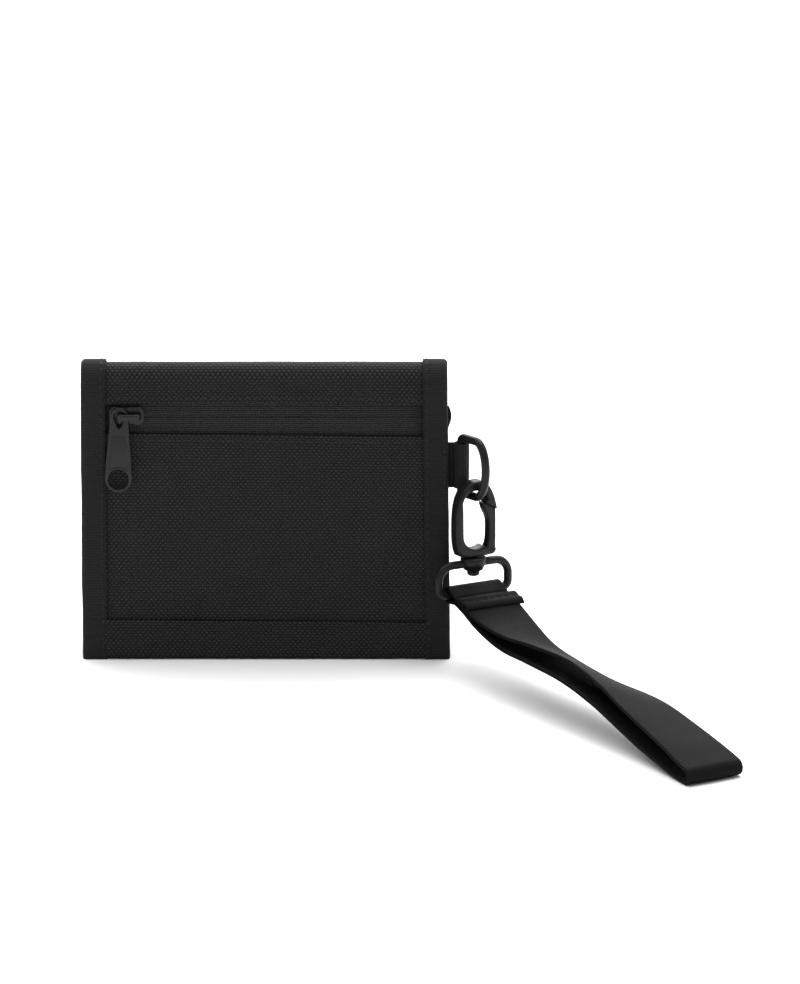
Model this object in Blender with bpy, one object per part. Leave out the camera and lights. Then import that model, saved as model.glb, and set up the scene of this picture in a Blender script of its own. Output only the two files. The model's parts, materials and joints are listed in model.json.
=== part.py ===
"""Folding zip pouch in woven nylon, with a side D-ring, a swivel snap hook and a wrist strap.

The pouch stands on its bottom edges like a tent, with the fold along the top.
Frame: +X to the right along the fold, +Y from the zip face to the plain face, +Z up.
The origin is on the ground, under the middle of the zip half. Lengths are in metres.
"""
import math

import bmesh
import bpy
from mathutils import Matrix, Vector

MM = 0.001
GAP = 0.3 * MM

# the two halves
HALF_WIDTH = 60.0 * MM
BINDING_WIDTH = 8.2 * MM
TAPE = 0.6 * MM
FOLD_Z = 95.0 * MM
FOLD_Y = 2.8 * MM
TENT_ANGLE = math.radians(7.0)
PANEL_TOP = FOLD_Z - GAP / 2
HEM_HEIGHT = 13.3 * MM
HEM_INNER_HEIGHT = 8.0 * MM
SLEEVE_TOP = 86.0 * MM

# layers of the zip half and of the plain half, each from its outer to its inner face
ZIP_OUTER_TAPE = (-3.25 * MM, -2.65 * MM)
ZIP_CANVAS = (-2.35 * MM, -1.65 * MM)
ZIP_TAPE = (-1.35 * MM, -0.95 * MM)
ZIP_COIL = (-0.65 * MM, 0.15 * MM)
ZIP_LINING = (1.35 * MM, 1.65 * MM)
ZIP_SLEEVE = (1.95 * MM, 2.35 * MM)
ZIP_INNER_TAPE = (2.65 * MM, 3.25 * MM)
PLAIN_OUTER_TAPE = (8.85 * MM, 8.25 * MM)
PLAIN_CANVAS = (7.95 * MM, 7.25 * MM)
PLAIN_LINING = (6.95 * MM, 6.65 * MM)
PLAIN_SLEEVE = (6.35 * MM, 5.95 * MM)
CARD_SLOT_LAYERS = ((5.65 * MM, 5.35 * MM), (5.05 * MM, 4.75 * MM))
CARD_SLOT_TOPS = (72.0 * MM, 58.0 * MM)
PLAIN_INNER_TAPE = (4.45 * MM, 3.85 * MM)

# bottom of the plain half before it is turned, so that its inner edge lands on the ground
PLAIN_RISE = (PLAIN_INNER_TAPE[1] - FOLD_Y) * math.sin(TENT_ANGLE)
PLAIN_BOTTOM = FOLD_Z - (FOLD_Z + PLAIN_RISE) / math.cos(TENT_ANGLE)

# hook-and-loop closure, between the hems
PATCH_HALF_WIDTH = 22.0 * MM
PATCH_Z = (9.0 * MM, 25.0 * MM)
PATCH_THICKNESS = 0.6 * MM

# zip
WINDOW_Z = (77.7 * MM, 86.9 * MM)
ZIP_Z = 82.6 * MM
SLIT = 1.5 * MM
ZIP_TAPE_HEIGHT = 12.0 * MM
COIL_HEIGHT = 1.7 * MM
SLIDER_X = -45.0 * MM
SLIDER_PLATE = (11.4 * MM, 6.4 * MM)
SLIDER_FRONT = (-3.05 * MM, -1.65 * MM)
SLIDER_BACK = (0.45 * MM, 1.05 * MM)
SLIDER_NECK = (3.0 * MM, 0.8 * MM)
BRIDGE_OUTER_Y = -6.15 * MM
BRIDGE_RADIUS = 0.9 * MM
BRIDGE_REACH = 6.4 * MM

# pull tab, hanging from the bridge's left foot
PULL_PIVOT = (-47.3 * MM, 83.3 * MM)
PULL_Y = (-4.65 * MM, -3.55 * MM)
PULL_RING_RADIUS = 3.05 * MM
PULL_RING_BORE = 1.9 * MM
PULL_LENGTH = 21.0 * MM
PULL_END_RADIUS = 4.45 * MM
PULL_HOLE_RADIUS = 3.2 * MM
PULL_LEAN = math.radians(1.7)

# D-ring and its webbing tab
BAR = Vector((64.5 * MM, 0.2 * MM, 66.0 * MM))
WIRE_RADIUS = 1.4 * MM
D_HALF_HEIGHT = 9.4 * MM
D_LEG = 7.5 * MM
D_DEPTH = 12.5 * MM
D_TURN = math.radians(-51.0)
TAB_HALF_HEIGHT = 7.6 * MM
TAB_HALF_THICKNESS = 0.75 * MM
TAB_EYE_RADIUS = 2.9 * MM
TAB_EYE_BORE = 1.75 * MM
TAB_START_X = 54.0 * MM
TAB_SLOT_MARGIN = 0.35 * MM

# snap hook, hanging on the lower leg of the D-ring
HOOK_ON_LEG = 6.5 * MM
HOOK_TURN = math.radians(30.0)
HOOK_THICKNESS = 4.8 * MM
HOOK_HALF_WIDTH = 7.6 * MM
HOOK_TOP = 5.6 * MM
HOOK_BOTTOM = -20.2 * MM
POST_RADIUS = 1.5 * MM
KNOB_RADIUS = 2.1 * MM
KNOB_Z = (-26.8 * MM, -25.2 * MM)
GATE_PIVOT = (6.3 * MM, -17.3 * MM)
GATE_THICKNESS = 3.4 * MM

# swivel ring under the hook
RING_TURN = math.radians(27.4)
COLLAR_RADIUS = 4.3 * MM
COLLAR_BORE = 1.9 * MM
COLLAR_Z = (-24.9 * MM, -20.5 * MM)
RING_HALF_WIDTH = 13.0 * MM
RING_TOP_Z = -22.6 * MM
RING_BAR_Z = -32.5 * MM

# wrist strap: (distance from the bar, height, roll in degrees, half of the gap between runs, sideways)
STRAP_WIDTH = 20.0 * MM
STRAP_THICKNESS = 1.3 * MM
STRAP_WRAP_RADIUS = 2.35 * MM
STRAP_STATIONS = (
    (5.5, 23.3, 0.0, 0.80, 0.0),
    (12.0, 21.6, 0.0, 0.80, 0.0),
    (20.0, 18.9, 3.0, 1.10, 0.0),
    (35.0, 14.9, 16.0, 2.00, 0.4),
    (50.0, 13.4, 28.0, 2.80, 1.5),
    (68.0, 12.4, 34.0, 3.20, 3.2),
    (86.0, 11.2, 24.0, 3.20, 4.6),
    (100.0, 9.2, 11.0, 3.20, 5.5),
    (114.0, 6.6, 6.0, 3.20, 6.2),
    (126.0, 4.7, 3.0, 2.90, 6.6),
    (134.0, 3.4, 0.0, 2.40, 6.9),
    (138.5, 2.8, 0.0, 2.05, 7.0),
)
STRAP_STEPS = 3


def clear_scene():
    for old in list(bpy.data.objects):
        bpy.data.objects.remove(old, do_unlink=True)


def material(name, colour, roughness, metallic=0.0):
    """A plain Principled material."""
    made = bpy.data.materials.new(name)
    made.use_nodes = True
    shader = made.node_tree.nodes["Principled BSDF"]
    shader.inputs["Base Color"].default_value = (*colour, 1.0)
    shader.inputs["Roughness"].default_value = roughness
    shader.inputs["Metallic"].default_value = metallic
    return made


def finish(name, mesh, look, place=None, parent=None, smooth=False):
    """An object of this mesh, with its material, place and parent."""
    made = bpy.data.objects.new(name, mesh)
    bpy.context.scene.collection.objects.link(made)
    mesh.materials.append(look)
    if smooth:
        mesh.shade_smooth()
        mesh.set_sharp_from_angle(angle=math.radians(35.0))
    made.parent = parent
    if place is not None:
        made.matrix_basis = place
    return made


def to_mesh(name, shape):
    bmesh.ops.recalc_face_normals(shape, faces=shape.faces)
    mesh = bpy.data.meshes.new(name)
    shape.to_mesh(mesh)
    shape.free()
    return mesh


def slab_mesh(name, x, y, z):
    """A box between these (low, high) pairs."""
    shape = bmesh.new()
    bmesh.ops.create_cube(shape, size=1.0)
    size = Vector((x[1] - x[0], y[1] - y[0], z[1] - z[0]))
    centre = Vector((x[0] + x[1], y[0] + y[1], z[0] + z[1])) / 2
    bmesh.ops.transform(shape, matrix=Matrix.Translation(centre) @ Matrix.Diagonal((*size, 1)), verts=shape.verts)
    return to_mesh(name, shape)


def prism_mesh(name, outline, low, high, place):
    """An outline of (a, b) points, extruded in c from low to high; place(a, b, c) gives the point."""
    shape = bmesh.new()
    rings = [[shape.verts.new(place(a, b, c)) for a, b in outline] for c in (low, high)]
    shape.faces.new(rings[0])
    shape.faces.new(reversed(rings[1]))
    count = len(outline)
    for n in range(count):
        after = (n + 1) % count
        shape.faces.new((rings[0][n], rings[1][n], rings[1][after], rings[0][after]))
    return to_mesh(name, shape)


def upright(a, b, c):
    """Puts an outline in the X-Z plane and extrudes it along Y."""
    return (a, c, b)


def arc(centre, radius, start, end, steps, squash=1.0):
    """Points on an arc, with angles in degrees; squash scales its second coordinate."""
    points = []
    for n in range(steps + 1):
        angle = math.radians(start + (end - start) * n / steps)
        points.append((centre[0] + radius * math.cos(angle), centre[1] + squash * radius * math.sin(angle)))
    return points


def cylinder_mesh(name, radius, low, high, sides=24, centre=(0.0, 0.0)):
    """A cylinder along Z."""
    outline = arc(centre, radius, 0.0, 360.0 * (sides - 1) / sides, sides - 1)
    return prism_mesh(name, outline, low, high, lambda a, b, c: (a, b, c))


def planar_tube_mesh(name, path, radius, sides=10):
    """A closed round wire along a closed path of (x, z) points."""
    shape = bmesh.new()
    count = len(path)
    rings = []
    for n, (x, z) in enumerate(path):
        before = Vector(path[n - 1])
        after = Vector(path[(n + 1) % count])
        along = (after - before).normalized()
        side = Vector((along.y, -along.x))
        ring = []
        for k in range(sides):
            angle = 2 * math.pi * k / sides
            out = radius * math.cos(angle)
            ring.append(shape.verts.new((x + side.x * out, radius * math.sin(angle), z + side.y * out)))
        rings.append(ring)
    join_rings(shape, rings, closed=True)
    return to_mesh(name, shape)


def join_rings(shape, rings, closed):
    """Quads between rings of vertices, and caps where the run is open."""
    count = len(rings)
    for n in range(count if closed else count - 1):
        one = rings[n]
        other = rings[(n + 1) % count]
        sides = len(one)
        for k in range(sides):
            after = (k + 1) % sides
            shape.faces.new((one[k], one[after], other[after], other[k]))
    if not closed:
        shape.faces.new(rings[0])
        shape.faces.new(rings[-1])


def cut(target, mesh, place=None, parent=None, operation="DIFFERENCE"):
    """Cut this shape out of the target, or add it, with a hidden Boolean operand."""
    tool = bpy.data.objects.new(f"tool_{target.name}_{len(target.modifiers)}", mesh)
    bpy.context.scene.collection.objects.link(tool)
    tool.hide_render = True
    tool.display_type = "WIRE"
    tool.parent = parent
    if place is not None:
        tool.matrix_basis = place
    modifier = target.modifiers.new(operation.lower(), "BOOLEAN")
    modifier.operation = operation
    modifier.solver = "EXACT"
    modifier.object = tool


def add(target, mesh, place=None, parent=None):
    cut(target, mesh, place, parent, operation="UNION")


def panel(name, y, z, look, parent=None, half_width=None):
    """A flat layer that runs from one side binding to the other."""
    reach = half_width or HALF_WIDTH - TAPE - GAP
    return finish(name, slab_mesh(name, (-reach, reach), y, z), look, parent=parent)


def side_binding(name, side, outer, inner, bottom, look, parent=None):
    """Binding tape folded round one side edge: a channel that opens towards the middle."""
    edge = side * HALF_WIDTH
    wall = side * (HALF_WIDTH - TAPE)
    mouth = side * (HALF_WIDTH - BINDING_WIDTH)
    outline = [(mouth, outer[0]), (edge, outer[0]), (edge, inner[1]), (mouth, inner[1])]
    outline += [(mouth, inner[0]), (wall, inner[0]), (wall, outer[1]), (mouth, outer[1])]
    mesh = prism_mesh(name, outline, bottom, PANEL_TOP, lambda a, b, c: (a, b, c))
    return finish(name, mesh, look, parent=parent)


def hem_band(name, outer, inner, bottom, look, parent=None):
    """A strip folded round the bottom edge, high on the outer face and low on the inner one."""
    crease = bottom + TAPE
    outline = [(outer[0], HEM_HEIGHT), (outer[0], bottom), (inner[1], bottom), (inner[1], HEM_INNER_HEIGHT)]
    outline += [(inner[0], HEM_INNER_HEIGHT), (inner[0], crease), (outer[1], crease), (outer[1], HEM_HEIGHT)]
    reach = HALF_WIDTH - BINDING_WIDTH - GAP
    mesh = prism_mesh(name, outline, -reach, reach, lambda a, b, c: (c, a, b))
    return finish(name, mesh, look, parent=parent)


def fold_arc(name, low_x, high_x, inner, outer, look):
    """The stretch of a layer that goes over the fold, from one half to the other."""
    lead = math.degrees(GAP / 2 / outer)
    start = math.degrees(TENT_ANGLE) + lead
    outline = arc((FOLD_Y, FOLD_Z), outer, start, 180.0 - lead, 20)
    outline += arc((FOLD_Y, FOLD_Z), inner, 180.0 - lead, start, 20)
    mesh = prism_mesh(name, outline, low_x, high_x, lambda a, b, c: (c, a, b))
    return finish(name, mesh, look, smooth=True)


def zip_half(looks):
    """The half that carries the zip pocket; it is the fixed body."""
    canvas, tape, lining = looks["canvas"], looks["binding"], looks["lining"]
    bottom = TAPE + GAP
    panel("upper_panel", ZIP_CANVAS, (WINDOW_Z[1], PANEL_TOP), canvas)
    panel("zip_pocket_panel", ZIP_CANVAS, (bottom, WINDOW_Z[0]), canvas)
    panel("zip_pocket_lining", ZIP_LINING, (bottom, PANEL_TOP), lining)
    panel("bill_sleeve_panel", ZIP_SLEEVE, (bottom, SLEEVE_TOP), lining)
    hem_band("hem_band_zip_side", ZIP_OUTER_TAPE, ZIP_INNER_TAPE, 0.0, canvas)
    side_binding("binding_left_zip_side", -1, ZIP_OUTER_TAPE, ZIP_INNER_TAPE, 0.0, tape)
    right = side_binding("binding_right_zip_side", 1, ZIP_OUTER_TAPE, ZIP_INNER_TAPE, 0.0, tape)
    reach = TAB_HALF_THICKNESS + TAB_SLOT_MARGIN
    height = TAB_HALF_HEIGHT + TAB_SLOT_MARGIN
    slot = slab_mesh(
        "slot",
        (HALF_WIDTH - 2 * TAPE, HALF_WIDTH + TAPE),
        (BAR.y - reach, BAR.y + reach),
        (BAR.z - height, BAR.z + height),
    )
    cut(right, slot)
    patch = (ZIP_SLEEVE[1] + GAP, ZIP_SLEEVE[1] + GAP + PATCH_THICKNESS)
    panel("closure_loop_patch", patch, PATCH_Z, looks["loop_pile"], half_width=PATCH_HALF_WIDTH)


def plain_half(looks, fold):
    """The half that opens, modelled closed and turned about the fold."""
    canvas, tape, lining = looks["canvas"], looks["binding"], looks["lining"]
    outer, inner, bottom = PLAIN_OUTER_TAPE, PLAIN_INNER_TAPE, PLAIN_BOTTOM
    start = bottom + TAPE + GAP
    panel("cover_panel", PLAIN_CANVAS, (start, PANEL_TOP), canvas, fold)
    panel("cover_lining", PLAIN_LINING, (start, PANEL_TOP), lining, fold)
    panel("card_sleeve_panel", PLAIN_SLEEVE, (start, SLEEVE_TOP), lining, fold)
    for n, (layer, top) in enumerate(zip(CARD_SLOT_LAYERS, CARD_SLOT_TOPS)):
        panel(f"card_slot_{n + 1}", layer, (start, top), lining, fold)
    hem_band("hem_band_cover_side", outer, inner, bottom, canvas, fold)
    side_binding("binding_left_cover_side", -1, outer, inner, bottom, tape, fold)
    side_binding("binding_right_cover_side", 1, outer, inner, bottom, tape, fold)
    face = CARD_SLOT_LAYERS[-1][1] - GAP
    patch = (face, face - PATCH_THICKNESS)
    panel("closure_hook_patch", patch, PATCH_Z, looks["hook_pile"], fold, PATCH_HALF_WIDTH)


def fold_layers(looks):
    """The canvas and the two bindings where they go over the top."""
    canvas_outer = FOLD_Y - ZIP_CANVAS[0]
    canvas_inner = FOLD_Y - ZIP_CANVAS[1]
    tape_outer = FOLD_Y - ZIP_OUTER_TAPE[0]
    tape_inner = FOLD_Y - ZIP_OUTER_TAPE[1]
    reach = HALF_WIDTH - TAPE - GAP
    fold_arc("fold_panel", -reach, reach, canvas_inner, canvas_outer, looks["canvas"])
    mouth = HALF_WIDTH - BINDING_WIDTH
    fold_arc("binding_left_fold", -HALF_WIDTH, -mouth, tape_inner, tape_outer, looks["binding"])
    fold_arc("binding_right_fold", mouth, HALF_WIDTH, tape_inner, tape_outer, looks["binding"])


def zip_chain(looks):
    """Two tapes with a coil each, and the slit between them that the slider's neck runs in."""
    for name, side in (("upper", 1), ("lower", -1)):
        edge = ZIP_Z + side * SLIT / 2
        tape_z = sorted((edge, ZIP_Z + side * ZIP_TAPE_HEIGHT))
        panel(f"zip_tape_{name}", ZIP_TAPE, tape_z, looks["zip_tape"])
        coil_z = sorted((edge, edge + side * COIL_HEIGHT))
        panel(f"zip_coil_{name}", ZIP_COIL, coil_z, looks["coil"])


def zip_slider(looks):
    """Front plate, back plate, the neck between them, and the bridge that holds the pull."""
    length, height = SLIDER_PLATE
    centre_z = PULL_PIVOT[1]
    plate = slab_mesh(
        "front",
        (SLIDER_X - length / 2, SLIDER_X + length / 2),
        SLIDER_FRONT,
        (centre_z - height / 2, centre_z + height / 2),
    )
    slider = finish("zip_slider", plate, looks["slider"])
    neck_x = (SLIDER_X - SLIDER_NECK[0] / 2, SLIDER_X + SLIDER_NECK[0] / 2)
    neck_z = (ZIP_Z - SLIDER_NECK[1] / 2, ZIP_Z + SLIDER_NECK[1] / 2)
    overlap = 0.2 * MM
    add(slider, slab_mesh("neck", neck_x, (SLIDER_FRONT[1] - overlap, SLIDER_BACK[0] + overlap), neck_z))
    back_x = (SLIDER_X - length * 0.4, SLIDER_X + length * 0.4)
    back_z = (ZIP_Z - height * 0.45, ZIP_Z + height * 0.45)
    add(slider, slab_mesh("back", back_x, SLIDER_BACK, back_z))
    left = PULL_PIVOT[0]
    right = left + BRIDGE_REACH
    radius = BRIDGE_RADIUS
    foot = SLIDER_FRONT[0] + overlap
    lift = BRIDGE_OUTER_Y
    outline = [(left - radius, foot), (left - radius, lift + radius), (left - radius / 3, lift)]
    outline += [(right + radius / 3, lift), (right + radius, lift + radius), (right + radius, foot)]
    outline += [(right - radius, foot), (right - radius, lift + 2 * radius / 1.5)]
    outline += [(left + radius, lift + 2 * radius / 1.5), (left + radius, foot)]
    bridge = prism_mesh(
        "bridge", outline, centre_z - radius, centre_z + radius, lambda a, b, c: (a, b, c)
    )
    add(slider, bridge)
    return slider


def pull_tab(looks, slider):
    """A flat pull with a ring at its top and an oval hole at its foot; its origin is its pivot."""
    drop = PULL_LENGTH
    ring, end = PULL_RING_RADIUS, PULL_END_RADIUS
    outline = arc((0.0, 0.0), ring, -20.0, 200.0, 16)
    outline += arc((0.0, -drop), end, 180.0, 360.0, 16)
    turn = Matrix.Translation((PULL_PIVOT[0], 0.0, PULL_PIVOT[1])) @ Matrix.Rotation(PULL_LEAN, 4, "Y")
    pull = finish("pull_tab", prism_mesh("pull_tab", outline, *PULL_Y, upright), looks["slider"], turn)
    over = (PULL_Y[0] - MM, PULL_Y[1] + MM)
    bore = arc((0.0, 0.0), PULL_RING_BORE, 0.0, 345.0, 23)
    cut(pull, prism_mesh("bore", bore, *over, upright), turn)
    oval = arc((0.0, -drop - 0.2 * MM), PULL_HOLE_RADIUS, 0.0, 345.0, 23, squash=1.1)
    cut(pull, prism_mesh("oval", oval, *over, upright), turn)
    keep_place(pull, slider)


def keep_place(child, parent):
    """Parent without moving the child, when the parent is in its final place."""
    child.parent = parent
    child.matrix_parent_inverse = parent.matrix_basis.inverted()


def d_ring(looks):
    """A D-shaped wire: a straight bar in the tab, two legs and a bow. Its origin is on the bar."""
    bow_depth = D_DEPTH - D_LEG
    high = D_HALF_HEIGHT
    corner = WIRE_RADIUS * 1.1
    path = arc((corner, -high + corner), corner, 180.0, 270.0, 3)
    path += [(D_LEG * 0.55, -high)]
    bow = arc((0.0, 0.0), 1.0, -90.0, 90.0, 14)
    path += [(D_LEG + bow_depth * a, high * b) for a, b in bow]
    path += [(D_LEG * 0.55, high)]
    path += arc((corner, high - corner), corner, 90.0, 180.0, 3)
    path += [(0.0, high * 0.3), (0.0, -high * 0.3)]
    place = Matrix.Translation(BAR) @ Matrix.Rotation(D_TURN, 4, "Z")
    mesh = planar_tube_mesh("d_ring", path, WIRE_RADIUS)
    return finish("d_ring", mesh, looks["hardware"], place, smooth=True)


def d_ring_tab(looks):
    """Webbing that leaves the side binding, goes round the D-ring's bar and comes back."""
    half = TAB_HALF_THICKNESS
    lead = math.degrees(math.asin(half / TAB_EYE_RADIUS))
    outline = [(TAB_START_X, BAR.y - half)]
    outline += arc((BAR.x, BAR.y), TAB_EYE_RADIUS, 180.0 + lead, 540.0 - lead, 22)
    outline += [(TAB_START_X, BAR.y + half)]
    low, high = BAR.z - TAB_HALF_HEIGHT, BAR.z + TAB_HALF_HEIGHT
    mesh = prism_mesh("d_ring_tab", outline, low, high, lambda a, b, c: (a, b, c))
    tab = finish("d_ring_tab", mesh, looks["webbing"])
    cut(tab, cylinder_mesh("eye", TAB_EYE_BORE, low - MM, high + MM, centre=(BAR.x, BAR.y)))


def hang_point():
    """Where the hook hangs, on the axis of the D-ring's lower leg."""
    out = Matrix.Rotation(D_TURN, 3, "Z") @ Vector((HOOK_ON_LEG, 0.0, -D_HALF_HEIGHT))
    return BAR + out


def hook_place(turn):
    return Matrix.Translation(hang_point()) @ Matrix.Rotation(turn, 4, "Z")


def snap_hook(looks):
    """The hook's curved body, the post under it and the knob that holds the swivel ring."""
    wide = HOOK_HALF_WIDTH
    base, top = HOOK_BOTTOM, HOOK_TOP
    outline = [(-wide + 1.6 * MM, base), (wide - 1.6 * MM, base), (wide, base + 1.8 * MM)]
    outline += [(wide, -18.0 * MM), (5.0 * MM, -18.0 * MM), (3.2 * MM, -17.6 * MM)]
    outline += arc((0.1 * MM, -12.6 * MM), 4.9 * MM, -55.0, -180.0, 8)
    outline += [(-4.8 * MM, -3.0 * MM)]
    outline += arc((-0.3 * MM, -2.6 * MM), 5.0 * MM, 172.0, 20.0, 12)
    outline += [(3.3 * MM, -2.3 * MM), (7.9 * MM, -4.9 * MM)]
    outline += [(7.9 * MM, -3.9 * MM), (6.6 * MM, 0.6 * MM), (4.6 * MM, 4.0 * MM)]
    outline += [(2.6 * MM, 5.3 * MM), (0.6 * MM, top), (-2.2 * MM, 5.0 * MM)]
    outline += [(-5.0 * MM, 3.0 * MM), (-6.9 * MM, -0.8 * MM), (-wide, -6.0 * MM)]
    outline += [(-wide, -12.5 * MM)]
    half = HOOK_THICKNESS / 2
    mesh = prism_mesh("hook_body", outline, -half, half, upright)
    place = hook_place(HOOK_TURN)
    hook = finish("hook_body", mesh, looks["hardware"], place)
    overlap = 0.4 * MM
    add(hook, cylinder_mesh("post", POST_RADIUS, KNOB_Z[1] - overlap, base + overlap), place)
    add(hook, cylinder_mesh("knob", KNOB_RADIUS, *KNOB_Z), place)
    return hook


def hook_gate(looks):
    """The springy gate that closes the hook's mouth; its origin is where it flexes."""
    pivot_x, pivot_z = GATE_PIVOT
    outline = [(5.0 * MM, -16.9 * MM), (5.5 * MM, -17.6 * MM), (7.6 * MM, -17.6 * MM), (7.6 * MM, -5.3 * MM)]
    outline += [(3.0 * MM, -2.65 * MM), (2.5 * MM, -3.1 * MM), (5.0 * MM, -8.5 * MM)]
    outline = [(a - pivot_x, b - pivot_z) for a, b in outline]
    half = GATE_THICKNESS / 2
    mesh = prism_mesh("hook_gate", outline, -half, half, upright)
    place = hook_place(HOOK_TURN) @ Matrix.Translation((pivot_x, 0.0, pivot_z))
    return finish("hook_gate", mesh, looks["hardware"], place)


def swivel_ring(looks):
    """A collar that turns on the hook's post, and the rectangular wire that holds the strap."""
    wide, top, low = RING_HALF_WIDTH, RING_TOP_Z, RING_BAR_Z
    upper, lower = 5.0 * MM, 2.5 * MM
    path = arc((wide - upper, top - upper), upper, 90.0, 0.0, 6)
    path += arc((wide - lower, low + lower), lower, 0.0, -90.0, 4)
    path += arc((-wide + lower, low + lower), lower, -90.0, -180.0, 4)
    path += arc((-wide + upper, top - upper), upper, 180.0, 90.0, 6)
    place = hook_place(RING_TURN)
    mesh = planar_tube_mesh("swivel_ring", path, WIRE_RADIUS)
    ring = finish("swivel_ring", mesh, looks["hardware"], place, smooth=True)
    add(ring, cylinder_mesh("collar", COLLAR_RADIUS, *COLLAR_Z), place)
    cut(ring, cylinder_mesh("bore", COLLAR_BORE, COLLAR_Z[0] - MM, COLLAR_Z[1] + MM), place)
    return ring


def smooth_stations(stations, steps):
    """Stations with steps - 1 more between each two, on a smooth curve through them."""
    filled = []
    count = len(stations)
    for n in range(count - 1):
        around = [stations[max(0, min(count - 1, n + k))] for k in (-1, 0, 1, 2)]
        for step in range(steps):
            t = step / steps
            filled.append(tuple(catmull_rom(*values, t) for values in zip(*around)))
    filled.append(stations[-1])
    return filled


def catmull_rom(before, start, end, after, t):
    bend = 2 * before - 5 * start + 4 * end - after
    twist = 3 * start - before - 3 * end + after
    return 0.5 * (2 * start + (end - before) * t + bend * t * t + twist * t * t * t)


def strap_frames():
    """For each station: the middle of the strap, and its forward, side and up directions."""
    bar = hook_place(RING_TURN) @ Vector((0.0, 0.0, RING_BAR_Z))
    side = (hook_place(RING_TURN).to_3x3() @ Vector((1.0, 0.0, 0.0))).normalized()
    ahead = Vector((side.y, -side.x, 0.0))
    rows = smooth_stations(STRAP_STATIONS, STRAP_STEPS)
    level_bar = Vector((bar.x, bar.y, 0.0))
    middles = [level_bar + (ahead * row[0] + side * row[4] + Vector((0, 0, row[1]))) * MM for row in rows]
    frames = []
    for n, row in enumerate(rows):
        before = middles[n - 1] if n else bar
        after = middles[min(n + 1, len(rows) - 1)]
        forward = (after - before).normalized()
        level = side - forward * side.dot(forward)
        across = Matrix.Rotation(-math.radians(row[2]), 3, forward) @ level.normalized()
        frames.append((middles[n], forward, across, forward.cross(across), row[3] * MM))
    return bar, frames


def strap_path():
    """The strap's middle line as (point, across, outward), once round the loop."""
    bar, frames = strap_frames()
    upper = [(p + up * gap, across, up) for p, _, across, up, gap in frames]
    lower = [(p - up * gap, across, -up) for p, _, across, up, gap in reversed(frames)]
    end, forward, across, up, gap = frames[-1]
    turn = []
    for degrees in (30, 60, 90, 120, 150):
        out = up * math.cos(math.radians(degrees)) + forward * math.sin(math.radians(degrees))
        turn.append((end + out * gap, across, out))
    _, forward, across, up, _ = frames[0]
    wrap = []
    for degrees in range(-65, -296, -23):
        out = up * math.sin(math.radians(degrees)) + forward * math.cos(math.radians(degrees))
        wrap.append((bar + out * STRAP_WRAP_RADIUS, across, out))
    return upper + turn + lower + wrap


def wrist_strap(looks):
    """One length of webbing sewn into a loop round the swivel ring's bar."""
    shape = bmesh.new()
    rings = []
    half, thick = STRAP_WIDTH / 2, STRAP_THICKNESS / 2
    for point, across, out in strap_path():
        corners = ((-half, -thick), (half, -thick), (half, thick), (-half, thick))
        rings.append([shape.verts.new(point + across * a + out * b) for a, b in corners])
    join_rings(shape, rings, closed=True)
    return finish("wrist_strap", to_mesh("wrist_strap", shape), looks["webbing"])


def make_looks():
    return {
        "canvas": material("black_canvas", (0.012, 0.012, 0.013), 0.75),
        "binding": material("black_binding_tape", (0.010, 0.010, 0.011), 0.7),
        "lining": material("black_lining", (0.014, 0.014, 0.016), 0.6),
        "webbing": material("black_webbing", (0.011, 0.011, 0.012), 0.6),
        "zip_tape": material("black_zip_tape", (0.010, 0.010, 0.011), 0.7),
        "coil": material("black_zip_coil", (0.012, 0.012, 0.013), 0.4),
        "slider": material("black_painted_metal", (0.010, 0.010, 0.011), 0.35, 0.3),
        "hardware": material("black_moulded_plastic", (0.012, 0.012, 0.013), 0.4),
        "loop_pile": material("black_loop_pile", (0.014, 0.014, 0.015), 0.9),
        "hook_pile": material("black_hook_pile", (0.012, 0.012, 0.013), 0.6),
    }


def fold_axis():
    """The empty on the fold, which turns the half that opens."""
    fold = bpy.data.objects.new("fold_axis", None)
    bpy.context.scene.collection.objects.link(fold)
    to_axis = Matrix.Translation((0.0, FOLD_Y, FOLD_Z))
    fold.matrix_basis = to_axis @ Matrix.Rotation(TENT_ANGLE, 4, "X") @ to_axis.inverted()
    return fold


def main():
    clear_scene()
    looks = make_looks()
    zip_half(looks)
    plain_half(looks, fold_axis())
    fold_layers(looks)
    zip_chain(looks)
    pull_tab(looks, zip_slider(looks))
    d_ring_tab(looks)
    d_ring(looks)
    snap_hook(looks)
    hook_gate(looks)
    swivel_ring(looks)
    wrist_strap(looks)


main()
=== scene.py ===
"""The looks of the folding zip pouch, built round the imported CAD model."""

import json
import math

import bmesh
import bpy
import numpy as np
from mathutils import Matrix, Vector, noise

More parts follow.
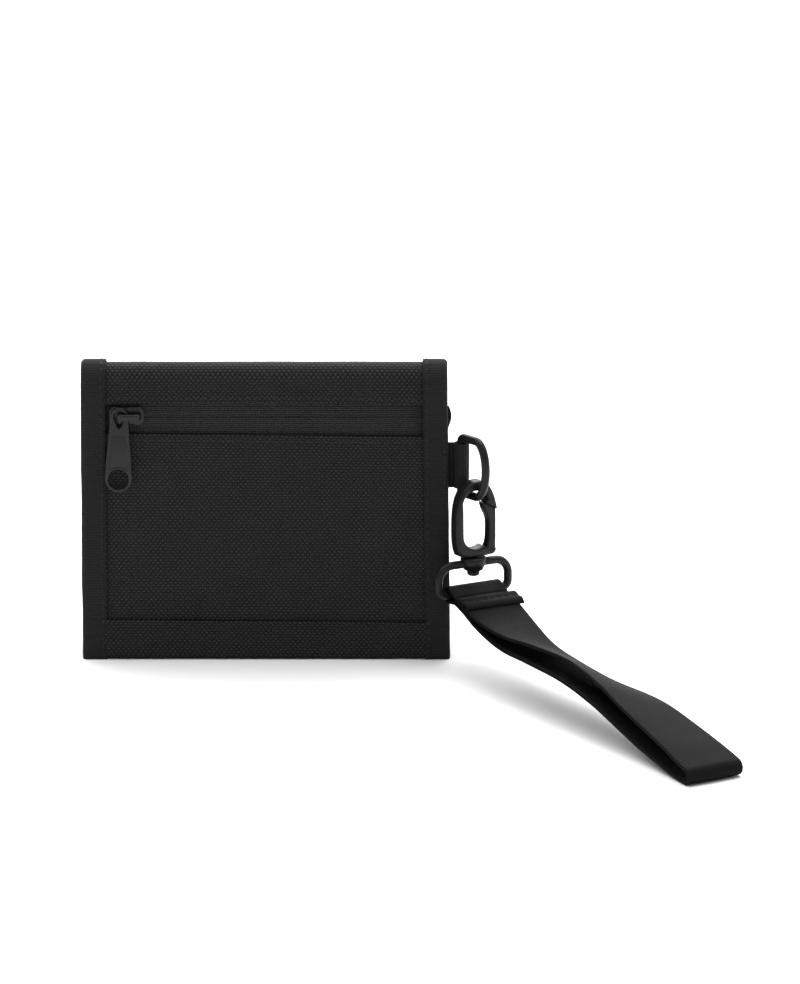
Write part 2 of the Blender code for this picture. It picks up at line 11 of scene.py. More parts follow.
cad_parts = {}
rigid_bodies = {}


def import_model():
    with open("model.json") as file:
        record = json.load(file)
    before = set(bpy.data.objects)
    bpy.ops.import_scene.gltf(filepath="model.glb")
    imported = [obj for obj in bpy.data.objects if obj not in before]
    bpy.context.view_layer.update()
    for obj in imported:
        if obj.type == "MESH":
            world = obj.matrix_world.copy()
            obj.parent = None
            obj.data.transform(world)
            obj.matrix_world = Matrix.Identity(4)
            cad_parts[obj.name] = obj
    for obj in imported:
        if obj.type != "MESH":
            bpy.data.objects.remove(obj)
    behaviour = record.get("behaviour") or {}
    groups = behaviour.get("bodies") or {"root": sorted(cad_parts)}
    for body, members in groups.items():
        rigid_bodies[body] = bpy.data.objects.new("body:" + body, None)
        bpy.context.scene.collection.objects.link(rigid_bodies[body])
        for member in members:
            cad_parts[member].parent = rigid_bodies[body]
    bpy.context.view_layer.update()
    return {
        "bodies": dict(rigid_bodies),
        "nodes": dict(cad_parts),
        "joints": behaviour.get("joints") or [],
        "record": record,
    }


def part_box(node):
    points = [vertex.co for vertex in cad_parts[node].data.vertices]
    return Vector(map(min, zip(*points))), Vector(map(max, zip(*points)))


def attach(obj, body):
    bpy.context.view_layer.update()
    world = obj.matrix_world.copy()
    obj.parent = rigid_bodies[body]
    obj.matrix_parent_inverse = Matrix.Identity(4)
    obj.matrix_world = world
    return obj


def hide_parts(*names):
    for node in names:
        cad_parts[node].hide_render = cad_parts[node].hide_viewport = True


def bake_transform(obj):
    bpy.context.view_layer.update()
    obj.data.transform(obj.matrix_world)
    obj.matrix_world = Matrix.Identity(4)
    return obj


MM = 0.001
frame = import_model()
JOINTS = {joint["name"]: joint for joint in frame["joints"]}

# the pouch
FOLD = Vector(JOINTS["fold_open"]["pos_m"])
TENT_ANGLE = math.radians(7.0)
HALF_WIDTH = -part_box("binding_left_zip_side")[0].x
CLOTH_HALF_WIDTH = HALF_WIDTH - 1.4 * MM
BINDING_WIDTH = 8.2 * MM
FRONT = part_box("hem_band_zip_side")[0].y
CANVAS_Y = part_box("zip_pocket_panel")[0].y
ZIP_Z = 82.6 * MM
COVER_BOTTOM = -0.84 * MM
SHOWN_HALF_WIDTH = HALF_WIDTH - BINDING_WIDTH
HEM_SPREAD = 0.019
# darkest colour of the cloths, which the weave's hollows take as painted shade
DEEPEST_BLACK = (0.0016, 0.0016, 0.0017)
UP = Vector((0.0, 0.0, 1.0))
AHEAD = Vector((0.0, -1.0, 0.0))

# to the cover's place from where it would be if it were upright
COVER_TILT = Matrix.Translation(FOLD) @ Matrix.Rotation(TENT_ANGLE, 4, "X") @ Matrix.Translation(-FOLD)

# the hanging parts
BAR = Vector(JOINTS["d_ring_turn"]["pos_m"])
HANG = Vector(JOINTS["hook_swing"]["pos_m"])
D_TURN = math.radians(-51.0)
HOOK_TURN = math.radians(30.0)
RING_TURN = math.radians(27.4)
WIRE_RADIUS = 1.4 * MM
RING_BAR_Z = -32.5 * MM


# ---------------------------------------------------------------- node helpers


def wire(tree, kind, *values, **settings):
    """A node with these inputs, in order; its first output."""
    node = tree.nodes.new(kind)
    for key, value in settings.items():
        setattr(node, key, value)
    for n, value in enumerate(values):
        if isinstance(value, bpy.types.NodeSocket):
            tree.links.new(value, node.inputs[n])
        elif value is not None:
            node.inputs[n].default_value = value
    return node.outputs[0]


def maths(tree, operation, *values):
    return wire(tree, "ShaderNodeMath", *values, operation=operation)


def ramp(tree, factor, dark, light, start=0.0, end=1.0):
    node = tree.nodes.new("ShaderNodeValToRGB")
    node.color_ramp.elements[0].position = start
    node.color_ramp.elements[0].color = (*dark, 1.0)
    node.color_ramp.elements[1].position = end
    node.color_ramp.elements[1].color = (*light, 1.0)
    tree.links.new(factor, node.inputs[0])
    return node.outputs[0]


def rescale(tree, value, low, high):
    """A value from 0 to 1, put between low and high."""
    node = tree.nodes.new("ShaderNodeMapRange")
    node.inputs["To Min"].default_value = low
    node.inputs["To Max"].default_value = high
    tree.links.new(value, node.inputs["Value"])
    return node.outputs["Result"]


def new_look(name, specular):
    material = bpy.data.materials.new(name)
    material.use_nodes = True
    tree = material.node_tree
    shader = tree.nodes["Principled BSDF"]
    shader.inputs["Specular IOR Level"].default_value = specular
    return material, tree, shader


def flat_coordinates(tree):
    """Metres across and along the cloth, from its UV map."""
    coordinates = tree.nodes.new("ShaderNodeTexCoord").outputs["UV"]
    split = tree.nodes.new("ShaderNodeSeparateXYZ")
    tree.links.new(coordinates, split.inputs[0])
    return coordinates, split.outputs[0], split.outputs[1]


def wave(tree, value, pitch, shift=0.0):
    """A sine with a half turn every pitch."""
    turned = maths(tree, "MULTIPLY_ADD", value, math.pi / pitch, shift)
    return maths(tree, "SINE", turned)


def noise_of(tree, coordinates, scale, detail=2.0, stretch=(1.0, 1.0, 1.0)):
    mapping = tree.nodes.new("ShaderNodeMapping")
    mapping.inputs["Scale"].default_value = tuple(scale * s for s in stretch)
    tree.links.new(coordinates, mapping.inputs[0])
    node = tree.nodes.new("ShaderNodeTexNoise")
    node.inputs["Scale"].default_value = 1.0
    node.inputs["Detail"].default_value = detail
    tree.links.new(mapping.outputs[0], node.inputs["Vector"])
    return node.outputs[0]


def relief(tree, shader, height, distance, strength):
    node = tree.nodes.new("ShaderNodeBump")
    node.inputs["Strength"].default_value = strength
    node.inputs["Distance"].default_value = distance
    tree.links.new(height, node.inputs["Height"])
    tree.links.new(node.outputs[0], shader.inputs["Normal"])


def plain_weave(tree, across, along, pitch_across, pitch_along, under=0.5):
    """Height of a plain weave: long humps where one thread is on top, lower ones where the other is."""
    side, ahead = wave(tree, across, pitch_across), wave(tree, along, pitch_along)
    wide = maths(tree, "POWER", maths(tree, "ABSOLUTE", side), 0.3)
    tall = maths(tree, "POWER", maths(tree, "ABSOLUTE", ahead), 1.2)
    hump = maths(tree, "MULTIPLY", wide, tall)
    on_top = maths(tree, "GREATER_THAN", maths(tree, "MULTIPLY", side, ahead), 0.0)
    return maths(tree, "MULTIPLY", hump, rescale(tree, on_top, under, 1.0))


def cloth_look(name, weave, light, specular, roughness, distance, strength):
    """A cloth: weave(tree, coordinates, across, along) gives its height from 0 to about 1; that height also
    sets the colour, as painted shade in the hollows and painted highlight on the thread tops.
    """
    material, tree, shader = new_look(name, specular)
    coordinates, across, along = flat_coordinates(tree)
    height = weave(tree, coordinates, across, along)
    patches = noise_of(tree, coordinates, 90.0, 3.0)
    fibres = noise_of(tree, coordinates, 5200.0, 2.0)
    # colour follows the weave's height: painted shade in the hollows between threads, painted highlight on
    # their raised tops; patches and fibres add random tone
    shade = maths(tree, "MULTIPLY_ADD", patches, 0.25, maths(tree, "MULTIPLY", height, 0.75))
    shade = maths(tree, "MULTIPLY_ADD", fibres, 0.25, maths(tree, "SUBTRACT", shade, 0.12))
    tree.links.new(ramp(tree, shade, DEEPEST_BLACK, light), shader.inputs["Base Color"])
    tree.links.new(rescale(tree, patches, *roughness), shader.inputs["Roughness"])
    relief(tree, shader, maths(tree, "MULTIPLY_ADD", fibres, 0.22, height), distance, strength)
    return material


def canvas_weave(tree, coordinates, across, along):
    """Coarse basket canvas, a little uneven, as thick yarn is."""
    drift = noise_of(tree, coordinates, 160.0, 1.0)
    along = maths(tree, "MULTIPLY_ADD", drift, 0.25 * MM, along)
    return plain_weave(tree, across, along, 0.80 * MM, 0.97 * MM, under=0.12)


def tape_weave(tree, coordinates, across, along):
    """Grosgrain: fine ribs across the tape, crossed by finer threads along it."""
    ribs = maths(tree, "ABSOLUTE", wave(tree, along, 0.55 * MM))
    threads = maths(tree, "ABSOLUTE", wave(tree, across, 0.42 * MM))
    return maths(tree, "MULTIPLY_ADD", threads, 0.3, maths(tree, "MULTIPLY", ribs, 0.7))


def lining_weave(tree, coordinates, across, along):
    return plain_weave(tree, across, along, 0.33 * MM, 0.33 * MM, under=0.8)


def webbing_weave(tree, coordinates, across, along):
    """Lengthwise ribs of small slanted floats, as in smooth heavy webbing."""
    ribs = maths(tree, "ABSOLUTE", wave(tree, across, 0.9 * MM))
    slant = maths(tree, "MULTIPLY_ADD", ribs, 0.35 * MM, along)
    floats = maths(tree, "ABSOLUTE", wave(tree, slant, 0.6 * MM))
    return maths(tree, "MULTIPLY_ADD", floats, 0.5, maths(tree, "MULTIPLY", ribs, 0.5))


def zip_weave(tree, coordinates, across, along):
    """Herringbone zip tape: ribs along the zip, made of short slanted stitches."""
    ribs = maths(tree, "ABSOLUTE", wave(tree, along, 0.72 * MM))
    slant = maths(tree, "MULTIPLY_ADD", ribs, 0.3 * MM, across)
    stitches = maths(tree, "ABSOLUTE", wave(tree, slant, 0.62 * MM))
    return maths(tree, "MULTIPLY_ADD", stitches, 0.4, maths(tree, "MULTIPLY", ribs, 0.6))


def pile_weave(tree, coordinates, across, along):
    return noise_of(tree, coordinates, 1900.0, 3.0)


def thread_look():
    """Twisted sewing thread, in object space because a stitch has no flat size."""
    material, tree, shader = new_look("black_thread", 0.16)
    place = tree.nodes.new("ShaderNodeTexCoord").outputs["Object"]
    twist = noise_of(tree, place, 3500.0, 2.0, (1.0, 1.0, 0.5))
    color = ramp(tree, twist, (0.006, 0.006, 0.006), (0.028, 0.028, 0.029))
    tree.links.new(color, shader.inputs["Base Color"])
    tree.links.new(rescale(tree, twist, 0.45, 0.65), shader.inputs["Roughness"])
    relief(tree, shader, twist, 0.06 * MM, 0.6)
    return material


def hard_look(name, specular, roughness, grain, edge_paleness):
    """Moulded plastic or painted metal: fine grain, broad cloudy variation and colour made paler at sharp
    convex edges.
    """
    material, tree, shader = new_look(name, specular)
    place = tree.nodes.new("ShaderNodeTexCoord").outputs["Object"]
    cloud = noise_of(tree, place, 160.0, 3.0)
    fine = noise_of(tree, place, grain, 2.0)
    edges = tree.nodes.new("ShaderNodeNewGeometry").outputs["Pointiness"]
    # the colour is made paler where the surface is sharply convex, at its edges
    pale_edges = rescale(tree, maths(tree, "SMOOTH_MIN", edges, 0.6, 0.05), 0.0, 1.0)
    pale_edges = maths(tree, "MULTIPLY", maths(tree, "MAXIMUM", maths(tree, "SUBTRACT", pale_edges, 0.52), 0.0), edge_paleness)
    shade = maths(tree, "MULTIPLY_ADD", cloud, 0.5, maths(tree, "MULTIPLY_ADD", fine, 0.2, pale_edges))
    color = ramp(tree, shade, (0.003, 0.003, 0.003), (0.017, 0.017, 0.0175))
    tree.links.new(color, shader.inputs["Base Color"])
    tree.links.new(rescale(tree, cloud, *roughness), shader.inputs["Roughness"])
    relief(tree, shader, fine, 0.03 * MM, 0.35)
    return material


# name, weave, lightest colour (painted highlight on the weave's raised tops), specular level, roughness,
# height of the weave in mm, its strength
CLOTHS = {
    "canvas": ("black_canvas", canvas_weave, (0.037, 0.037, 0.038), 0.13, (0.55, 0.72), 0.42, 0.9),
    "binding": ("black_binding", tape_weave, (0.024, 0.024, 0.025), 0.11, (0.6, 0.75), 0.3, 1.0),
    "lining": ("black_lining", lining_weave, (0.022, 0.022, 0.025), 0.14, (0.5, 0.62), 0.12, 0.8),
    "webbing": ("black_webbing", webbing_weave, (0.011, 0.011, 0.0115), 0.035, (0.5, 0.62), 0.16, 0.9),
    "tab": ("black_tab_webbing", tape_weave, (0.022, 0.022, 0.023), 0.13, (0.55, 0.7), 0.3, 1.0),
    "zip_tape": ("black_zip_tape", zip_weave, (0.036, 0.036, 0.037), 0.15, (0.5, 0.7), 0.45, 1.0),
    "loop_pile": ("black_loop_pile", pile_weave, (0.03, 0.03, 0.032), 0.1, (0.8, 0.95), 0.5, 0.8),
    "hook_pile": ("black_hook_pile", pile_weave, (0.026, 0.026, 0.028), 0.3, (0.4, 0.6), 0.3, 0.8),
}
# name, specular level, roughness, grain, how much paler the colour is at convex edges
HARD_PARTS = {
    "zip_coil": ("black_nylon_coil", 0.25, (0.3, 0.45), 2500.0, 1.0),
    "slider": ("black_painted_zinc", 0.26, (0.24, 0.38), 3200.0, 3.0),
    "hardware": ("black_moulded_acetal", 0.2, (0.26, 0.42), 2200.0, 2.0),
}


def make_looks():
    looks = {}
    for key, (name, weave, light, specular, roughness, height, strength) in CLOTHS.items():
        looks[key] = cloth_look(name, weave, light, specular, roughness, height * MM, strength)
    looks["thread"] = thread_look()
    for key, values in HARD_PARTS.items():
        looks[key] = hard_look(*values)
    return looks


# ---------------------------------------------------------------- mesh helpers


def smooth_step(x):
    x = min(1.0, max(0.0, x))
    return x * x * (3.0 - 2.0 * x)


def hill(x, middle, width):
    return math.exp(-(((x - middle) / width) ** 2))


def spread_hem(mesh):
    """The pouch is a little wider at its hem, where the soft edges spread, than at its fold."""
    for vertex in mesh.vertices:
        below = 1.0 - vertex.co.z / FOLD.z
        vertex.co.x *= 1.0 + HEM_SPREAD * max(0.0, below)


def finish_piece(name, mesh, look, body=None, nodes=(), smooth_angle=None, flare=True):
    """An object that rides on a body, stands for these CAD nodes and takes this look."""
    if flare and body in (None, "zip_half", "cover_half"):
        spread_hem(mesh)
    mesh.materials.append(look)
    mesh.shade_smooth()
    if smooth_angle:
        mesh.set_sharp_from_angle(angle=math.radians(smooth_angle))
    piece = bpy.data.objects.new(name, mesh)
    bpy.context.scene.collection.objects.link(piece)
    if body:
        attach(piece, body)
    if nodes:
        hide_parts(*nodes)
    return piece


def face_outwards(mesh):
    shape = bmesh.new()
    shape.from_mesh(mesh)
    bmesh.ops.recalc_face_normals(shape, faces=shape.faces)
    shape.to_mesh(mesh)
    shape.free()


def stops(length, spacing, edge):
    """Distances along a side, closer together at its two rounded ends."""
    inner = np.linspace(edge, length - edge, max(2, int(length / spacing)))
    return [0.0, edge * 0.3, *inner, length - edge * 0.3, length]


def roundness(distance, edge):
    """How much of the full thickness there is at this distance from the cloth's edge."""
    if distance >= edge:
        return 1.0
    return max(0.25, math.sqrt(1.0 - (1.0 - distance / edge) ** 2))


def cloth_mesh(
    name, place, width, span, thickness, spacing=1.5 * MM, edge=0.35 * MM, round_ends=(True, True)
):
    """A piece of cloth. place(u, v) gives its middle surface and the way out of its face.

    Its UV map is in metres across and along the cloth. An end that isn't round stays open, for the
    next piece of the same cloth to carry on from."""
    first, last = span
    across = stops(width, spacing, edge)
    along = [first + v for v in stops(last - first, spacing, edge)]
    points, flat = [], []
    for face in (1.0, -1.0):
        for v in along:
            for u in across:
                point, out = place(u, v)
                full = roundness(min(u, width - u), edge)
                if round_ends[0]:
                    full = min(full, roundness(v - first, edge))
                if round_ends[1]:
                    full = min(full, roundness(last - v, edge))
                points.append(point + out * (face * full * thickness / 2))
                flat.append((u, v))
    columns, rows = len(across), len(along)
    back = rows * columns
    faces = []
    for layer in (0, back):
        for r in range(rows - 1):
            for c in range(columns - 1):
                a = layer + r * columns + c
                faces.append((a, a + 1, a + columns + 1, a + columns))
    for side in (0, columns - 1):
        for r in range(rows - 1):
            a = r * columns + side
            faces.append((a, a + columns, a + columns + back, a + back))
    for row, closed in ((0, round_ends[0]), (rows - 1, round_ends[1])):
        for c in range(columns - 1 if closed else 0):
            a = row * columns + c
            faces.append((a, a + 1, a + 1 + back, a + back))
    mesh = bpy.data.meshes.new(name)
    mesh.from_pydata(points, [], faces)
    layer = mesh.uv_layers.new(name="UVMap")
    used = np.zeros(len(mesh.loops), np.int32)
    mesh.loops.foreach_get("vertex_index", used)
    layer.data.foreach_set("uv", np.array(flat, np.float32)[used].ravel())
    face_outwards(mesh)
    return mesh


def stitches_mesh(name, place, start, end, length=2.1 * MM, gap=0.75 * MM, radius=0.26 * MM):
    """A row of stitches. place(s) gives a point on the cloth's face and the way out of it."""
    points, faces = [], []
    rings = ((-1.0, 0.35, -0.9), (-0.8, 0.8, -0.2), (-0.3, 1.0, 0.25), (0.3, 1.0, 0.25), (0.8, 0.8, -0.2))
    rings += ((1.0, 0.35, -0.9),)
    sides = 6
    at = start
    while at + length <= end:
        first = len(points)
        for share, size, height in rings:
            s = at + length * (share + 1.0) / 2.0
            point, out = place(s)
            ahead = (place(s + 0.1 * MM)[0] - place(s - 0.1 * MM)[0]).normalized()
            aside = ahead.cross(out)
            for k in range(sides):
                angle = 2.0 * math.pi * k / sides
                around = aside * math.cos(angle) + out * (math.sin(angle) * 0.8)
                points.append(point + around * (radius * size) + out * (radius * height))
        for r in range(len(rings) - 1):
            for k in range(sides):
                a = first + r * sides + k
                b = first + r * sides + (k + 1) % sides
                faces.append((a, b, b + sides, a + sides))
        faces.append(tuple(first + k for k in range(sides)))
        faces.append(tuple(first + (len(rings) - 1) * sides + k for k in range(sides)))
        at += length + gap
    mesh = bpy.data.meshes.new(name)
    mesh.from_pydata(points, [], faces)
    face_outwards(mesh)
    return mesh


def sew(name, place, start, end, looks, body, slot, *size):
    """A row of stitches that rides on a body."""
    mesh = stitches_mesh(name, place, start, end, *size)
    return finish_piece(name, mesh, looks["thread"], body)


def in_mm(points):
    return [(a * MM, b * MM) for a, b in points]


def arc(centre, radius, start, end, steps, squash=1.0):
    """Points on an arc, with angles in degrees."""
    angles = [math.radians(start + (end - start) * n / steps) for n in range(steps + 1)]
    return [(centre[0] + radius * math.cos(a), centre[1] + squash * radius * math.sin(a)) for a in angles]


def flat_mesh(name, outline, holes, thickness, bevel, turn, rounds=3):
    """A flat shape with holes and rounded edges, thickness wide along its own Z, then moved by turn."""
    curve = bpy.data.curves.new(name, "CURVE")
    curve.dimensions = "2D"
    curve.fill_mode = "BOTH"
    curve.extrude = thickness / 2 - bevel
    curve.bevel_depth = bevel
    curve.bevel_resolution = rounds
    curve.offset = -bevel
    for loop in (outline, *holes):
        spline = curve.splines.new("POLY")
        spline.points.add(len(loop) - 1)
        for point, (a, b) in zip(spline.points, loop):
            point.co = (a, b, 0.0, 1.0)
        spline.use_cyclic_u = True
    return curve_to_mesh(name, curve, turn)


def curve_to_mesh(name, curve, turn):
    holder = bpy.data.objects.new(name + "_curve", curve)
    bpy.context.scene.collection.objects.link(holder)
    bpy.context.view_layer.update()
    graph = bpy.context.evaluated_depsgraph_get()
    mesh = bpy.data.meshes.new_from_object(holder.evaluated_get(graph))
    bpy.data.objects.remove(holder, do_unlink=True)
    mesh.materials.clear()
    mesh.transform(turn)
    shape = bmesh.new()
    shape.from_mesh(mesh)
    bmesh.ops.remove_doubles(shape, verts=shape.verts, dist=1e-6)
    bmesh.ops.recalc_face_normals(shape, faces=shape.faces)
    shape.to_mesh(mesh)
    shape.free()
    return mesh


def tube_mesh(name, points, radius, closed, turn, rounds=6):
    """A round wire along these points."""
    curve = bpy.data.curves.new(name, "CURVE")
    curve.dimensions = "3D"
    curve.bevel_depth = radius
    curve.bevel_resolution = rounds
    curve.use_fill_caps = not closed
    spline = curve.splines.new("POLY")
    spline.points.add(len(points) - 1)
    for point, place in zip(spline.points, points):
        point.co = (*place, 1.0)
    spline.use_cyclic_u = closed
    return curve_to_mesh(name, curve, turn)


def turned_mesh(name, profile, turn, sides=48):
    """A profile of (radius, height) points turned about Z."""
    points, faces = [], []
    for radius, height in profile:
        for k in range(sides):
            angle = 2.0 * math.pi * k / sides
            points.append((radius * math.cos(angle), radius * math.sin(angle), height))
    count = len(profile)
    for r in range(count - 1):
        for k in range(sides):
            after = (k + 1) % sides
            faces.append((r * sides + k, r * sides + after, (r + 1) * sides + after, (r + 1) * sides + k))
    faces.append(tuple(range(sides)))
    faces.append(tuple((count - 1) * sides + k for k in range(sides)))
    mesh = bpy.data.meshes.new(name)
    mesh.from_pydata(points, [], faces)
    mesh.transform(turn)
    face_outwards(mesh)
    return mesh


UPRIGHT = Matrix(((1, 0, 0, 0), (0, 0, -1, 0), (0, 1, 0, 0), (0, 0, 0, 1)))


# ---------------------------------------------------------------- cloth over the fold


class FoldPath:
    """A path up the zip half, over the fold at one radius and down the cover."""

    def __init__(self, radius, low_front, low_back):
        self.radius = radius
        self.low = low_front
        self.rise = FOLD.z - low_front
        self.top = self.rise + radius * math.pi / 2
        self.bent = self.rise + radius * (math.pi - TENT_ANGLE)
        self.length = self.bent + FOLD.z - low_back

    def at(self, v):
        """The point at this distance, and the way out."""
        if v <= self.rise:
            return Vector((0.0, FOLD.y - self.radius, self.low + v)), AHEAD.copy()
        if v < self.bent:
            angle = math.pi - (v - self.rise) / self.radius
            out = Vector((0.0, math.cos(angle), math.sin(angle)))
            return FOLD + out * self.radius, out
        out = Vector((0.0, math.cos(TENT_ANGLE), math.sin(TENT_ANGLE)))
        down = Vector((0.0, math.sin(TENT_ANGLE), -math.cos(TENT_ANGLE)))
        return FOLD + out * self.radius + down * (v - self.bent), out

    def calm(self, v):
        """0 at the top of the fold, where two pieces meet, and 1 away from it."""
        return smooth_step(abs(v - self.top) / (4.0 * MM))


def bend_with_fold(piece, side):
    """Bakes the piece's place into its mesh; both halves are treated alike and nothing is blended round the
    fold."""
    if side == "zip":
        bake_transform(piece)
    else:
        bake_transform(piece)


def fold_pieces(name, place, width, path, thickness, look, nodes, spacing=1.2 * MM, edge=0.35 * MM):
    """The same cloth as two pieces that meet at the top of the fold."""
    spans = (("zip", (0.0, path.top), (True, False)), ("cover", (path.top, path.length), (False, True)))
    for side, span, ends in spans:
        mesh = cloth_mesh(f"{name}_{side}", place, width, span, thickness, spacing, edge, ends)
        piece = finish_piece(f"{name}_{side}", mesh, look, nodes=nodes[side])
        bend_with_fold(piece, side)


def upper_edge_rise(x):
    """The turned edge above the zip isn't straight: it rises in the middle and drops to the right."""
    return 0.72 * MM - 0.0042 * x - 0.26 * x * x


def crinkle(x, z, size=0.16 * MM, scale=70.0):
    """Slight unevenness of sewn cloth."""
    broad = noise.noise(Vector((x * scale, z * scale, 0.37)))
    fine = noise.noise(Vector((x * scale * 3.1, z * scale * 3.1, 4.2)))
    return size * (broad + 0.5 * fine)


def turned_edge(v, stitch_at, depth=3.2 * MM):
    """Extra height of a hem that is turned under, with the dip that its stitching pulls in."""
    lift = 0.38 * MM * smooth_step((depth - v) / (0.9 * MM))
    return lift - 0.2 * MM * hill(v, stitch_at, 0.45 * MM)


def outer_canvas(looks):
    """The canvas from the edge above the zip, over the fold and down to the cover's hem."""
    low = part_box("upper_panel")[0].z
    path = FoldPath(FOLD.y - CANVAS_Y - 0.35 * MM, low, COVER_BOTTOM + 0.9 * MM)

    def place(u, v):
        x = u - CLOTH_HALF_WIDTH
        point, out = path.at(v)
        lift = turned_edge(v, 1.8 * MM) + crinkle(x, v) * path.calm(v)
        point = point + Vector((x, 0.0, 0.0)) + out * lift
        return point + UP * (upper_edge_rise(x) * smooth_step(1.0 - v / (8.0 * MM))), out

    nodes = {"zip": ("upper_panel", "fold_panel"), "cover": ("cover_panel",)}
    width = 2 * CLOTH_HALF_WIDTH
    fold_pieces("outer_canvas", place, width, path, 0.7 * MM, looks["canvas"], nodes)

    def seam(s):
        point, out = place(s + CLOTH_HALF_WIDTH, 1.8 * MM)
        return point + out * (0.35 * MM), out

    sew("stitches_above_zip", seam, -SHOWN_HALF_WIDTH, SHOWN_HALF_WIDTH, looks, "zip_half", "canvas")


def inner_lining(looks):
    """Lining from the back of the zip pocket, close under the canvas at the fold, and down the cover."""
    path = FoldPath(4.0 * MM, 1.2 * MM, COVER_BOTTOM + 1.2 * MM)

    def place(u, v):
        x = u - CLOTH_HALF_WIDTH + 0.2 * MM
        point, out = path.at(v)
        inward = 2.7 * MM * (1.0 - smooth_step((v - path.rise + 8.0 * MM) / (8.0 * MM)))
        wrinkle = crinkle(x, v, 0.12 * MM) * path.calm(v)
        return point + Vector((x, 0.0, 0.0)) + out * (wrinkle - inward), out

    nodes = {"zip": ("zip_pocket_lining",), "cover": ("cover_lining",)}
    width = 2 * (CLOTH_HALF_WIDTH - 0.2 * MM)
    fold_pieces("inner_lining", place, width, path, 0.3 * MM, looks["lining"], nodes, 1.6 * MM)


def channel(share, depth, reach, outer_leg, inner_leg, radius):
    """A place on the section of a tape that is folded round an edge, for a share from 0 to 1.

    Gives how deep it is, how far towards the edge, and the way out as (depth, reach)."""
    quarter = radius * math.pi / 2
    wall = max(0.0, depth - 2 * radius)
    runs = (outer_leg - radius, quarter, wall, quarter, inner_leg - radius)
    s = share * sum(runs)
    if s <= runs[0]:
        return 0.0, reach - outer_leg + s, (-1.0, 0.0)
    s -= runs[0]
    if s <= quarter:
        angle = s / radius
        out = (-math.cos(angle), math.sin(angle))
        return radius + radius * out[0], reach - radius + radius * out[1], out
    s -= quarter
    if s <= wall:
        return radius + s, reach, (0.0, 1.0)
    s -= wall
    if s <= quarter:
        angle = s / radius
        out = (math.sin(angle), math.cos(angle))
        return depth - radius + radius * out[0], reach - radius + radius * out[1], out
    s -= quarter
    return depth, reach - radius - s, (1.0, 0.0)


def binding_depth(path, v):
    """How far apart the tape's two legs are: least at the fold, where nothing is between them."""
    zip_depth, fold_depth, cover_depth = 5.9 * MM, 2.2 * MM, 4.4 * MM
    if v < path.rise:
        return zip_depth + (fold_depth - zip_depth) * smooth_step((v - path.rise + 7.0 * MM) / (7.0 * MM))
    return fold_depth + (cover_depth - fold_depth) * smooth_step((v - path.bent) / (7.0 * MM))


def side_binding(where, side, looks):
    """Binding tape folded round one side: up the zip half, over the fold and down the cover."""
    tape, radius = 0.6 * MM, 1.05 * MM
    path = FoldPath(FOLD.y - FRONT - tape / 2, 0.0, COVER_BOTTOM)
    width = 2 * BINDING_WIDTH + 4.0 * MM
    leg = BINDING_WIDTH - tape / 2
    aside = Vector((side, 0.0, 0.0))

    def uneven(reach, v):
        wobble = 0.1 * MM * noise.noise(Vector((side * 3.0, v * 95.0, 1.3)))
        return (crinkle(reach, v, 0.13 * MM) + wobble) * path.calm(v)

    def place(u, v):
        point, out = path.at(v)
        depth = binding_depth(path, v)
        section = channel(u / width, depth, HALF_WIDTH - tape / 2, leg, leg, radius)
        deep, reach, (out_deep, out_reach) = section
        way = (out * -out_deep + aside * out_reach).normalized()
        return point - out * deep + aside * reach + way * uneven(reach, v), way

    ends = {"zip": ("zip_side", "fold"), "cover": ("cover_side",)}
    nodes = {half: [f"binding_{where}_{part}" for part in parts] for half, parts in ends.items()}
    name = f"binding_{where}"
    fold_pieces(name, place, width, path, tape, looks["binding"], nodes, 1.0 * MM, 0.3 * MM)

    def seam(s):
        point, out = path.at(s)
        reach = SHOWN_HALF_WIDTH + 1.35 * MM
        return point + aside * reach + out * (tape / 2 + uneven(reach, s)), out

    for half, start, end in (("zip", 1.2 * MM, path.top), ("cover", path.top, path.length - 1.2 * MM)):
        size = (1.9 * MM, 0.7 * MM, 0.22 * MM)
        piece = sew(f"stitches_{where}_{half}", seam, start, end, looks, None, "binding", *size)
        bend_with_fold(piece, half)


# ---------------------------------------------------------------- the two halves


def pocket_front(looks):
    """The zip pocket's front: its top edge is turned under and stitched below the zip."""
    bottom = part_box("zip_pocket_panel")[0].z
    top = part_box("zip_pocket_panel")[1].z - 0.5 * MM
    slope = 0.0112
    left = -42.0 * MM

    def place(u, v):
        x = u - CLOTH_HALF_WIDTH
        z = top - v - slope * (x - left) * smooth_step(1.0 - v / (30.0 * MM))
        belly = 0.25 * MM * math.cos(x / CLOTH_HALF_WIDTH * math.pi / 2) * hill(z, 45.0 * MM, 22.0 * MM)
        out = turned_edge(v, 2.0 * MM) + crinkle(x, z) + belly
        return Vector((x, CANVAS_Y + 0.35 * MM - out, z)), AHEAD.copy()

    mesh = cloth_mesh("pocket_front", place, 2 * CLOTH_HALF_WIDTH, (0.0, top - bottom), 0.7 * MM)
    finish_piece("pocket_front", mesh, looks["canvas"], "zip_half", ("zip_pocket_panel",))

    def seam(s):
        point, out = place(s + CLOTH_HALF_WIDTH, 2.0 * MM)
        return point + out * (0.35 * MM), out

    sew("stitches_below_zip", seam, -SHOWN_HALF_WIDTH, SHOWN_HALF_WIDTH, looks, "zip_half", "canvas")


